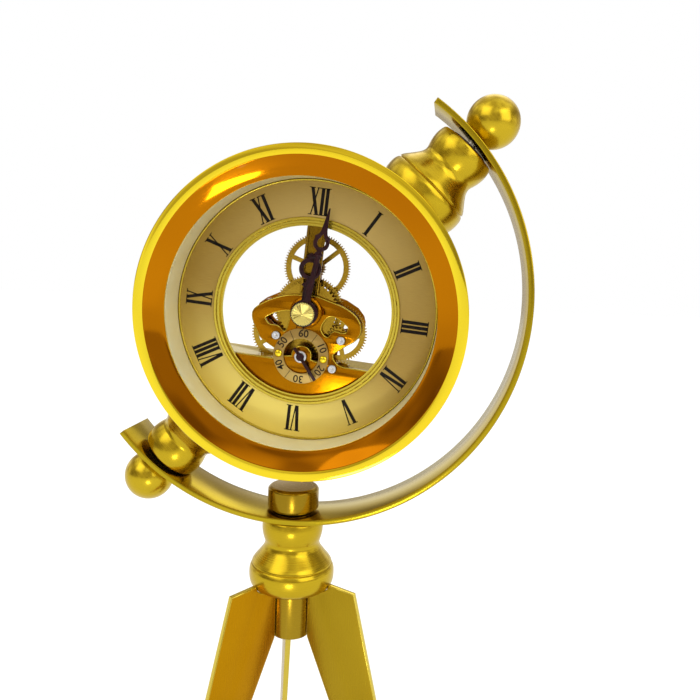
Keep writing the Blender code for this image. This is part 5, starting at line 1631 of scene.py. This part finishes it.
    def rivet(self, node: str) -> None:
        """Build a silver bush or rivet: a flat head with a sunk centre."""
        axes = DIAL.moved(middle_of(node))
        size = measure(node, axes)
        seat = measure("front_plate", DIAL).high + GAP
        shank = size.outer / 2
        profile = [(radius, size.high - depth) for radius, depth in self.rivet_dish]
        profile += [(size.outer * self.rivet_face, size.high), (size.outer, size.high - self.rivet_chamfer),
                    (size.outer, seat), (shank, seat), (shank, size.low), (0, size.low)]
        mount(revolve(node + "_turned", profile, axes, self.rivet_edge, SMALL_ROUND_STEPS), "head",
              STEEL.material(axes), "steel", node)

    def motor(self) -> None:
        """Build the wound coil; the board and the stator keep their solids."""
        low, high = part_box("motor_coil")
        axes = Axes((low + high) / 2, DIAL.y, DIAL.z, DIAL.x)
        size = measure("motor_coil", axes)
        core = self.coil_core
        left, right = size.low + self.coil_flange, size.high - self.coil_flange
        wound = [(0, size.high), (core, size.high), (core, right)]
        for k in range(self.coil_turns * 4 + 1):
            share = k / (self.coil_turns * 4)
            groove = self.coil_groove * (1 - abs(sin(pi * share * self.coil_turns)))
            wound.append((size.outer - groove, right + (left - right) * share))
        wound += [(core, left), (core, size.low), (0, size.low)]
        mount(revolve("motor_coil_wound", wound, axes, 0, SMALL_ROUND_STEPS), "head", COPPER.material(axes),
              "copper_winding", "motor_coil")
        dress_node("circuit_board", BoardFinish().material(DIAL))
        dress_node("motor_stator", STEEL.material(DIAL))


@dataclass
class Train:
    """Wheels, pinions and arbors, each on its own axis."""
    module: float = 0.334 * MM
    third_module: float = 0.37 * MM
    motion_module: float = 0.364 * MM
    thickness: float = 0.8 * MM
    space: float = 1.2 * MM
    margin: float = 0.2 * MM
    addendum_share: float = 0.95
    dedendum_share: float = 1.30
    rim: float = 2.4 * MM
    hub: float = 3.0 * MM
    spoke: float = 1.8 * MM
    upper_turn: float = radians(44)
    arbor: float = 0.5 * MM
    stout_arbor: float = 0.8 * MM
    hand_post: float = 1.8 * MM
    knob_socket: float = 2.3 * MM
    pipe_inner: float = 1.1 * MM
    pipe_outer: float = 2.1 * MM
    bevel: float = 0.05 * MM
    flutes: int = 18
    flute: float = 0.3 * MM
    centre: int = 80
    cannon: int = 20
    third: int = 60
    third_pinion: int = 10
    fourth: int = 48
    fourth_pinion: int = 8
    upper: int = 76
    upper_pinion: int = 20
    minute: int = 60
    minute_pinion: int = 12
    hour: int = 48
    idler: int = 20
    setting: int = 31

    def build(self) -> None:
        """Build the going train, the motion work, the upper wheel and the setting work."""
        foot = measure("rear_plate", DIAL).high + GAP
        roof = measure("front_plate", DIAL).low - GAP
        middle, third, fourth, motion, upper, idler, setting = [seat_of(turn + "_turn") for turn in (
            "minute", "third", "seconds", "motion", "upper", "idler", "setting")]
        hour_module = 2 * hypot(*motion) / (self.hour + self.minute_pinion)
        hand_top = measure("minute_hand", DIAL).high
        seconds_foot = measure("seconds_hand", DIAL).low
        knob = measure("setting_knob", DIAL)
        self.wheel("centre_wheel", "minute", self.centre, 2, 0, self.module, 5)
        self.pinion("centre_wheel", "minute", self.cannon, 1, 0, self.motion_module)
        self.shaft("centre_wheel", "minute", self.stout_arbor, foot, hand_top + self.hand_post)
        self.wheel("third_wheel", "third", self.third, 3, 0, self.third_module, 5)
        self.pinion("third_wheel", "third", self.third_pinion, 2,
                    self.phase(middle, self.centre, 0, third, self.third_pinion), self.module)
        self.shaft("third_wheel", "third", self.arbor, foot, roof)
        self.wheel("fourth_wheel", "seconds", self.fourth, 4, 0, self.module, 0)
        self.pinion("fourth_wheel", "seconds", self.fourth_pinion, 3,
                    self.phase(third, self.third, 0, fourth, self.fourth_pinion), self.third_module)
        self.shaft("fourth_wheel", "seconds", self.arbor, foot, seconds_foot + self.arbor)
        self.wheel("upper_wheel", "upper", self.upper, 3, 0, self.module, 3, self.upper_turn)
        self.pinion("upper_wheel", "upper", self.upper_pinion, 2,
                    self.phase(middle, self.centre, 0, upper, self.upper_pinion), self.module)
        self.shaft("upper_wheel", "upper", self.arbor, foot, roof)
        motion_phase = self.phase(middle, self.cannon, 0, motion, self.minute)
        self.wheel("minute_wheel", "motion", self.minute, 1, motion_phase, self.motion_module, 5)
        self.pinion("minute_wheel", "motion", self.minute_pinion, 0, 0, hour_module)
        self.shaft("minute_wheel", "motion", self.arbor, self.level(1)[0] - self.space / 2, roof)
        self.wheel("hour_wheel", "hour", self.hour, 0,
                   self.phase(motion, self.minute_pinion, 0, middle, self.hour), hour_module, 0)
        self.pipe()
        idler_phase = self.phase(motion, self.minute, motion_phase, idler, self.idler)
        self.wheel("setting_idler", "idler", self.idler, 1, idler_phase, self.motion_module, 0)
        self.shaft("setting_idler", "idler", self.arbor, foot, roof)
        setting_phase = self.phase(idler, self.idler, idler_phase, setting, self.setting)
        self.wheel("setting_wheel", "setting", self.setting, 1, setting_phase, self.motion_module, 0)
        self.shaft("setting_wheel", "setting", self.stout_arbor, knob.low + self.knob_socket, roof)
        self.knob(knob)

    def level(self, index: int) -> Point:
        """Back and front of a wheel level, counted from the front plate."""
        plate_back = measure("front_plate", DIAL).low
        front = plate_back - self.thickness - index * (self.thickness + self.space)
        return front - self.thickness, front

    @staticmethod
    def phase(first: Point, teeth: int, turn: float, second: Point, own: int) -> float:
        """Phase at which a wheel's gap faces the tooth of the wheel that it meshes with.

        Args:
            first: Place of the wheel that is there.
            teeth: Its teeth.
            turn: Its phase.
            second: Place of the wheel that joins it.
            own: Teeth of that wheel.

        Returns:
            The phase of the second wheel.
        """
        line = atan2(second[1] - first[1], second[0] - first[0])
        share = (line - turn) * teeth / tau
        return line + pi + (share + 0.5) * tau / own

    def toothed(self, name: str, axes: Axes, dress: bpy.types.Material, teeth: int, low: float, high: float,
                phase: float, module: float, spokes: int, spoke_turn: float = 0.0) -> bpy.types.Object:
        """Grow one toothed plate with fine bevelled edges."""
        radius = teeth * module / 2
        grown = TOOTHED.grow(name, axes, dress, Teeth=teeth, Root=radius - self.dedendum_share * module,
                             Tip=radius + self.addendum_share * module, Rim=radius - self.rim, Hub=self.hub,
                             Spokes=spokes, Spoke_Width=self.spoke, Spoke_Turn=spoke_turn, Outside=0.0,
                             Low=low, High=high, Phase=phase)
        return bevelled(grown, self.bevel, 1)

    def wheel(self, name: str, arbor: str, teeth: int, index: int, phase: float, module: float,
              spokes: int, spoke_turn: float = 0.0) -> None:
        """Build a wheel at one level and let it stand for its CAD node.

        Args:
            name: Name of the wheel and its node.
            arbor: Its arbor, as its joint and its body are named.
            teeth: How many teeth it has.
            index: Its level.
            phase: Where its first tooth points.
            module: Its module.
            spokes: How many spokes it has.
            spoke_turn: Where its first spoke points.
        """
        axes = arbor_axes(arbor + "_turn")
        dress = WHEEL_GOLD.material(axes)
        low, high = self.level(index)
        mount(self.toothed(name + "_blank", axes, dress, teeth, low, high, phase, module, spokes, spoke_turn),
              arbor + "_arbor", dress, "wheel_gold", name)

    def pinion(self, name: str, arbor: str, teeth: int, index: int, phase: float, module: float) -> None:
        """Build a pinion on the level that it drives, up to its wheel.

        Args:
            name: Name of the wheel that it turns with.
            arbor: Its arbor, as its joint and its body are named.
            teeth: How many teeth it has.
            index: The level that it drives.
            phase: Where its first tooth points.
            module: Its module.
        """
        axes = arbor_axes(arbor + "_turn")
        dress = WHEEL_GOLD.material(axes)
        low, high = self.level(index)
        leaf = self.toothed(name + "_pinion_cut", axes, dress, teeth, low - self.space, high + self.margin,
                            phase, module, 0)
        mount(leaf, arbor + "_arbor", dress, "wheel_gold")

    def shaft(self, name: str, arbor: str, radius: float, low: float, high: float) -> None:
        """Build an arbor with rounded ends.

        Args:
            name: Name of the wheel that it carries.
            arbor: The arbor, as its joint and its body are named.
            radius: Its radius.
            low: Height of its back end.
            high: Height of its front end.
        """
        axes = arbor_axes(arbor + "_turn")
        mount(revolve(name + "_arbor_turned", Extent(low, high, radius, 0).rod(), axes, FINE_EDGE, 32),
              arbor + "_arbor", STEEL.material(axes), "steel")

    def pipe(self) -> None:
        """Build the hour pipe."""
        axes = arbor_axes("hour_turn")
        size = Extent(self.level(0)[0], measure("hour_wheel", axes).high, self.pipe_outer, self.pipe_inner)
        mount(revolve("hour_pipe", size.ring(), axes, THIN_EDGE, SMALL_ROUND_STEPS), "hour_arbor",
              WHEEL_GOLD.material(axes), "wheel_gold")

    def knob(self, size: Extent) -> None:
        """Build the fluted setting knob.

        Args:
            size: How far it reaches along the dial's axis.
        """
        axes = arbor_axes("setting_turn")
        outer = measure("setting_knob", axes).outer
        dress = BLACK_PLASTIC.material(axes)
        grown = toothed_band("setting_knob_fluted", axes, dress, self.flutes, outer - self.flute, outer,
                             size.low, size.high)
        mount(bevelled(grown, FINE_EDGE), "setting_arbor", dress, "black_plastic", "setting_knob")


@dataclass
class Hands:
    """Hour hand with its moon ring, minute hand with its loop, seconds hand and hand nut."""
    edge: float = 0.12 * MM
    hub: float = 5.0 * MM
    hour_angle: float = radians(0.6)
    minute_angle: float = radians(7.3)
    seconds_angle: float = radians(141.0)
    hour_ring: float = 16.6 * MM
    hour_ring_radius: float = 4.2 * MM
    hour_hole: float = 2.5 * MM
    hour_bore: float = 2.4 * MM
    minute_bore: float = 1.1 * MM
    ring_opening: float = 0.22
    hour_edge: tuple = ((1.75, 4.7), (1.70, 7.5), (1.45, 9.6), (2.35, 10.3), (2.25, 10.8), (1.15, 11.7),
                        (0.95, 12.4), (1.35, 13.0))
    hour_crown: tuple = ((0.85, 20.4), (1.55, 21.0), (1.60, 21.6), (1.05, 21.9), (0.55, 22.3), (0.0, 22.7))
    minute_edge: tuple = ((1.25, 4.8), (1.10, 12.0), (0.95, 20.0), (0.95, 21.6), (1.60, 22.3), (1.45, 22.9),
                          (0.95, 23.4), (1.15, 24.0), (2.45, 25.0), (3.00, 26.6), (2.75, 28.2), (2.95, 28.9),
                          (2.60, 29.4), (1.70, 29.9), (1.30, 31.0), (1.02, 32.4), (0.30, 39.2), (0.0, 39.55))
    minute_opening: tuple = ((0.0, 25.2), (1.05, 25.6), (1.60, 26.7), (1.35, 27.9), (0.65, 28.9), (0.0, 30.2))
    seconds_half: float = 0.62 * MM
    seconds_tail: float = 4.2 * MM
    seconds_reach: float = 10.6 * MM
    seconds_sheet: float = 0.5 * MM
    cap_radii: Point = (0.9 * MM, 1.5 * MM)
    cap_bevel: float = 0.4 * MM
    washer_radii: Point = (2.3 * MM, 0.6 * MM)
    washer_gaps: Point = (0.1 * MM, 0.2 * MM)
    nut_facets: int = 40
    nut_band: float = 1.5 * MM
    nut_tip: Point = (0.35 * MM, 0.06 * MM)
    nut_foot: tuple = (0.7 * MM, 0.5 * MM, 0.2 * MM)
    facet_depth: float = 0.25 * MM
    milling: float = 0.36 * MM

    def build(self) -> None:
        """Build the three hands and the nut."""
        self.hour()
        self.minute()
        self.seconds()
        self.nut()

    @staticmethod
    def mirrored(edge: list[Point]) -> list[Point]:
        """A closed outline from its right edge, bottom to top."""
        return edge + [(-x, y) for x, y in reversed(edge) if x > TINY]

    def hub_arc(self, half: float) -> list[Point]:
        """Round hub, from the left of the hand to its right."""
        opening = asin(half / self.hub)
        return arc(self.hub, pi / 2 + opening, pi / 2 + tau - opening, 60)

    def hour(self) -> None:
        """Build the hour hand."""
        edge = scaled(self.hour_edge, MM)
        join = acos(edge[-1][0] / self.hour_ring_radius)
        ring = arc(self.hour_ring_radius, -join, pi / 2 - self.ring_opening, 24, (0, self.hour_ring))
        crown = eased(scaled(self.hour_crown, MM), per_span=3)
        outline = self.hub_arc(edge[0][0]) + self.mirrored(eased(edge, per_span=3) + ring + crown)
        size = measure("hour_hand", DIAL)
        axes = arbor_axes("hour_turn").turned(-self.hour_angle)
        holes = [circle(self.hour_bore), circle(self.hour_hole, 40, (0, self.hour_ring))]
        hand = plate("hour_hand_cut", [outline] + holes, size.low, size.high, axes, self.edge)
        mount(hand, "hour_arbor", DARK_HAND.material(axes), "dark_hand", "hour_hand")

    def minute(self) -> None:
        """Build the minute hand."""
        edge = eased(scaled(self.minute_edge, MM), per_span=3)
        hole = self.mirrored(eased(scaled(self.minute_opening, MM), per_span=4))
        outline = self.hub_arc(edge[0][0]) + self.mirrored(edge)
        size = measure("minute_hand", DIAL)
        axes = arbor_axes("minute_turn").turned(-self.minute_angle)
        hand = plate("minute_hand_cut", [outline, circle(self.minute_bore), hole], size.low, size.high, axes,
                     self.edge)
        mount(hand, "minute_arbor", DARK_HAND.material(axes), "dark_hand", "minute_hand")

    def seconds(self) -> None:
        """Build the seconds hand with its cap and the grey washer under it."""
        axes = arbor_axes("seconds_turn").turned(-self.seconds_angle)
        size = measure("seconds_hand", axes)
        half, tail, reach = self.seconds_half, -self.seconds_tail, self.seconds_reach
        baton = plate("baton", [[(-half, tail), (half, tail), (half, reach), (-half, reach)]], size.low,
                      size.low + self.seconds_sheet, axes, self.edge)
        top, foot = self.cap_radii
        cap = revolve("cap", [(0, size.high), (top, size.high), (foot, size.high - self.cap_bevel),
                              (foot, size.low), (0, size.low)], axes, CUT_EDGE, SMALL_ROUND_STEPS)
        mount(joined("seconds_hand_cut", [baton, cap]), "seconds_arbor", DARK_HAND.material(axes), "dark_hand",
              "seconds_hand")
        above, below = self.washer_gaps
        washer = Extent(measure("seconds_dial", DIAL).high + below, size.low - above, *self.washer_radii)
        mount(revolve("seconds_washer", washer.ring(), axes, FINE_EDGE, SMALL_ROUND_STEPS), "seconds_arbor",
              STEEL.material(axes), "steel")

    def nut(self) -> None:
        """Build the hand nut: a turned cone over a finely milled band."""
        axes = arbor_axes("minute_turn")
        size = measure("hand_nut", axes)
        band = size.high - self.nut_band
        dress = NUT_GOLD.material(axes)
        tip, drop = self.nut_tip
        shoulder, foot, rise = self.nut_foot
        cone = revolve("cone", [(0, size.high), (tip, size.high - drop), (size.outer - shoulder, band + rise),
                                (size.outer - foot, band), (0, band)], axes, 0, self.nut_facets)
        back = axes.matrix().inverted()
        for vertex in cone.data.vertices:
            spot = back @ vertex.co
            facet = round(atan2(spot.y, spot.x) * self.nut_facets / tau)
            if facet % 2 and hypot(spot.x, spot.y) > size.outer / 2:
                vertex.co -= axes.z * self.facet_depth
        milled = toothed_band("milled", axes, dress, self.nut_facets, size.outer - self.milling, size.outer,
                              size.low, band)
        nut = smooth(joined("hand_nut_turned", [cone, milled]), FLAT)
        mount(nut, "minute_arbor", dress, "polished_gold", "hand_nut")


@dataclass
class SecondsDial:
    """Ring dial for the seconds, with its figures, its lines and its two domed screws."""
    figure_size: float = 4.0 * MM
    figure_weight: float = 0.05 * MM
    figure_circle: float = 8.75 * MM
    print_rise: float = 0.04 * MM
    line_width: float = 0.2 * MM
    line_margin: float = 0.3 * MM
    screw_bore: float = 0.9 * MM
    screw_shank: float = 0.6 * MM
    dome_steps: int = 10

    def build(self) -> None:
        """Build the ring and what lies on it."""
        axes = arbor_axes("seconds_turn")
        size = measure("seconds_dial", axes)
        middle = (size.outer + size.inner) / 2
        holes = [circle(self.screw_bore, 24, (side * middle, 0)) for side in (-1, 1)]
        ring = plate("seconds_dial_sheet", [circle(size.outer, 96), circle(size.inner, 96)] + holes,
                     size.low, size.high, axes, FINE_EDGE)
        # Same painted reflection sweeps and painted highlight as the main dial, in darker colours.
        dress = replace(SpunDialFinish(), name="seconds_champagne", light=(0.56, 0.38, 0.10),
                        middle=(0.46, 0.29, 0.07), dark=(0.34, 0.20, 0.04)).material(axes)
        mount(ring, "head", dress, "champagne_dial", "seconds_dial")
        ink = PRINT_BLACK.material(axes)
        self.figures(axes, size.high, ink)
        self.lines(axes, size, ink)
        for node in DIAL_SCREWS:
            self.screw(node, size.high + GAP)

    def lines(self, axes: Axes, size: Extent, ink: bpy.types.Material) -> None:
        """Build the lines at 5, 25, 35 and 55 seconds."""
        parts = []
        for k, second in enumerate((5, 25)):
            for side in (0, 1):
                turned = axes.turned(-tau * (second + 30 * side) / 60 + pi / 2)
                parts.append(BARS.grow(f"line_{k}_{side}", turned, ink, Count=1,
                                       Circle=(size.outer + size.inner) / 2,
                                       Length=size.outer - size.inner - self.line_margin,
                                       Width=self.line_width, Thickness=self.print_rise,
                                       Height=size.high + self.print_rise / 2))
        mount(joined("seconds_lines", parts), "head", ink, "dark_hand")

    def figures(self, axes: Axes, face: float, ink: bpy.types.Material) -> None:
        """Build the figures 10 to 60, tops outwards."""
        parts = []
        for k in range(6):
            figure = "60" if k == 0 else str(10 * k)
            written = bpy.data.curves.new("figure_" + figure, "FONT")
            written.body = figure
            written.size = self.figure_size
            written.align_x = "CENTER"
            written.align_y = "CENTER"
            written.extrude = self.print_rise / 2
            written.offset = self.figure_weight
            written.resolution_u = 4
            mesh = taken_mesh(placed("figure_" + figure, written))
            spot = axes.turned(-tau * k / 6).moved((0, self.figure_circle), face + self.print_rise / 2)
            parts.append(piece_from("figure_" + figure, face_outwards(mesh), spot))
        mount(joined("seconds_figures", parts), "head", ink, "dark_hand")

    def screw(self, node: str, seat: float) -> None:
        """Build one domed screw."""
        axes = DIAL.moved(middle_of(node))
        size = measure(node, axes)
        bends = [pi / 2 * step / self.dome_steps for step in range(self.dome_steps)]
        dome = [(size.outer * sin(bend), seat + (size.high - seat) * cos(bend)) for bend in bends]
        profile = dome + [(size.outer, seat), (self.screw_shank, seat), (self.screw_shank, size.low),
                          (0, size.low)]
        dress = replace(POLISHED_GOLD, name="screw_gold", roughness=0.12).material(axes)
        mount(revolve(node + "_turned", profile, axes, 0, SMALL_ROUND_STEPS), "head", dress, "polished_gold",
              node)


@dataclass
class Studio:
    """Camera at the photograph's angle, pale floor and soft studio light."""
    camera_place: tuple = (53.78, -288.30, 19.62)
    yaw: float = radians(7.46)
    pitch: float = radians(-6.93)
    roll: float = radians(1.91)
    focal_px: float = 738.32
    frame_px: float = 700.0
    sensor: float = 36.0
    floor_reach: float = 4.0
    floor_glow: float = 0.65
    floor_sheen: float = 0.38
    floor_colour: tuple = (0.48, 0.48, 0.47)
    near_clip: float = 0.01
    lamps: tuple = (("key_lamp", (-0.75, -0.95, 1.05), 1.1, 4.0), ("fill_lamp", (1.0, -0.75, 0.55), 1.0, 5.0),
                    ("back_lamp", (0.35, 0.95, 0.95), 1.0, 2.0),
                    ("low_lamp", (0.03, -0.34, -0.215), 0.07, 0.12, 0.04))
    ambient: float = 1.0
    band: float = 0.40
    band_tint: tuple = (1.0, 0.80, 0.58)
    band_start: float = radians(42)
    band_end: float = radians(80)
    band_blur: float = radians(12)
    ahead_left: float = 0.72
    ahead_right: float = 0.40
    behind: float = 0.90
    behind_high: float = 0.34
    overhead: float = 0.95
    ahead_reach: Point = (0.15, -0.25)
    behind_reach: Point = (0.14, 0.42)
    overhead_reach: Point = (0.44, 0.62)
    patch_reach: Point = (0.42, 0.58)
    patch_scale: float = 3.0
    patch_dark: float = 0.62
    patch_bright: float = 1.25

    def build(self) -> None:
        """Build the camera, the floor, the lamps and the world."""
        self.camera()
        self.floor()
        self.world()
        for lamp in self.lamps:
            self.lamp(*lamp)
        bpy.context.scene.view_settings.view_transform = "Standard"

    def camera(self) -> None:
        """Build the camera from the fitted place and angles."""
        ahead = Vector((-sin(self.yaw) * cos(self.pitch), cos(self.yaw) * cos(self.pitch), sin(self.pitch)))
        level = ahead.cross(Vector((0, 0, 1))).normalized()
        above = level.cross(ahead)
        right = level * cos(self.roll) + above * sin(self.roll)
        up = above * cos(self.roll) - level * sin(self.roll)
        lens = bpy.data.cameras.new("camera")
        lens.sensor_width = self.sensor
        lens.lens = self.sensor * self.focal_px / self.frame_px
        lens.clip_start = self.near_clip
        made = placed("camera", lens)
        place = DIAL.origin + Vector(self.camera_place) * MM
        made.matrix_world = Axes(place, right, up, -ahead).matrix()
        bpy.context.scene.camera = made

    @staticmethod
    def rays(wiring: Wiring) -> tuple[Value, Value]:
        """Whether a ray comes straight from the camera, and whether metal mirrors it."""
        path = wiring.add("ShaderNodeLightPath", {}).outputs
        seen = wiring.math("MAXIMUM", path["Is Camera Ray"], path["Is Transmission Ray"])
        return seen, Value(wiring, path["Is Glossy Ray"])

    def floor(self) -> None:
        """Build the pale floor, which is white to the camera and keeps the shadow."""
        mesh = bpy.data.meshes.new("floor")
        reach = self.floor_reach
        mesh.from_pydata([(-reach, -reach, 0), (reach, -reach, 0), (reach, reach, 0), (-reach, reach, 0)], [],
                         [(0, 1, 2, 3)])
        made = piece_from("floor", mesh)
        dress = bpy.data.materials.new("pale_floor")
        dress.use_nodes = True
        dress.node_tree.nodes.clear()
        wiring = Wiring(dress.node_tree)
        seen, mirrored = self.rays(wiring)
        strength = seen * self.floor_glow + mirrored * self.floor_sheen
        diffuse = wiring.add("ShaderNodeBsdfDiffuse", {"Color": (*self.floor_colour, 1.0)})
        glow = wiring.add("ShaderNodeEmission", {"Strength": strength})
        both = wiring.add("ShaderNodeAddShader", {0: diffuse, 1: glow})
        wiring.add("ShaderNodeOutputMaterial", {"Surface": both})
        mesh.materials.append(dress)

    def world(self) -> None:
        """White to the camera; to metal a studio, bright ahead and behind, with a warm dark band between."""
        world = bpy.data.worlds.new("studio")
        bpy.context.scene.world = world
        world.use_nodes = True
        world.node_tree.nodes.clear()
        made = Wiring(world.node_tree)
        where = made.add("ShaderNodeTexCoord", {}).outputs["Generated"]
        across, away, height = made.split(where)
        front = made.ranged(away, -cos(self.band_start), -cos(self.band_start - self.band_blur), 0.0, 1.0)
        back = made.ranged(away, -cos(self.band_end), -cos(self.band_end + self.band_blur), 0.0, 1.0)
        ahead = made.ranged(across, *self.ahead_reach, self.ahead_right, self.ahead_left)
        behind = made.ranged(height, *self.behind_reach, self.behind, self.behind_high)
        level = front * (ahead - self.band) + self.band
        level = level + back * (behind - self.band)
        above = made.ranged(height, *self.overhead_reach, 0.0, 1.0)
        level = level + above * made.math("SUBTRACT", self.overhead, level)
        patches = made.add("ShaderNodeTexNoise", {"Vector": where, "Scale": self.patch_scale, "Detail": 1.0})
        level = level * made.ranged(patches, *self.patch_reach, self.patch_dark, self.patch_bright)
        tint = made.blend(made.math("MINIMUM", level, 1.0), self.band_tint, (1.0, 1.0, 1.0))
        lit, studio, white = [made.add("ShaderNodeBackground", {"Color": colour, "Strength": strength})
                              for colour, strength in ((WHITE, self.ambient), (tint, level), (WHITE, 1.0))]
        seen, mirrored = self.rays(made)
        first = made.add("ShaderNodeMixShader", {0: mirrored, 1: lit, 2: studio})
        second = made.add("ShaderNodeMixShader", {0: seen, 1: first, 2: white})
        made.add("ShaderNodeOutputWorld", {"Surface": second})

    def lamp(self, name: str, place: tuple[float, float, float], size: float, power: float,
             tall: float = 0.0) -> None:
        """Build one soft lamp that faces the head.

        Args:
            name: Name of the lamp.
            place: Its place, from the head.
            size: Its width in metres.
            power: Its power in watts.
            tall: Its height, or nought for a square one.
        """
        light = bpy.data.lights.new(name, "AREA")
        light.shape = "RECTANGLE"
        light.size = size
        light.size_y = tall or size
        light.energy = power
        made = placed(name, light)
        made.location = DIAL.origin + Vector(place)
        made.rotation_euler = (-Vector(place)).to_track_quat("-Z", "Y").to_euler()


def main() -> None:
    """Dress the whole clock."""
    logging.basicConfig(level=logging.INFO, format="%(message)s")
    for assembly in (Studio(), Tripod(), MeridianArm(), Spindles(), Case(), Back(), Dial(), Movement(),
                     Train(), Hands(), SecondsDial()):
        LOG.info("building %s", type(assembly).__name__)
        assembly.build()


if __name__ == "__main__":
    main()
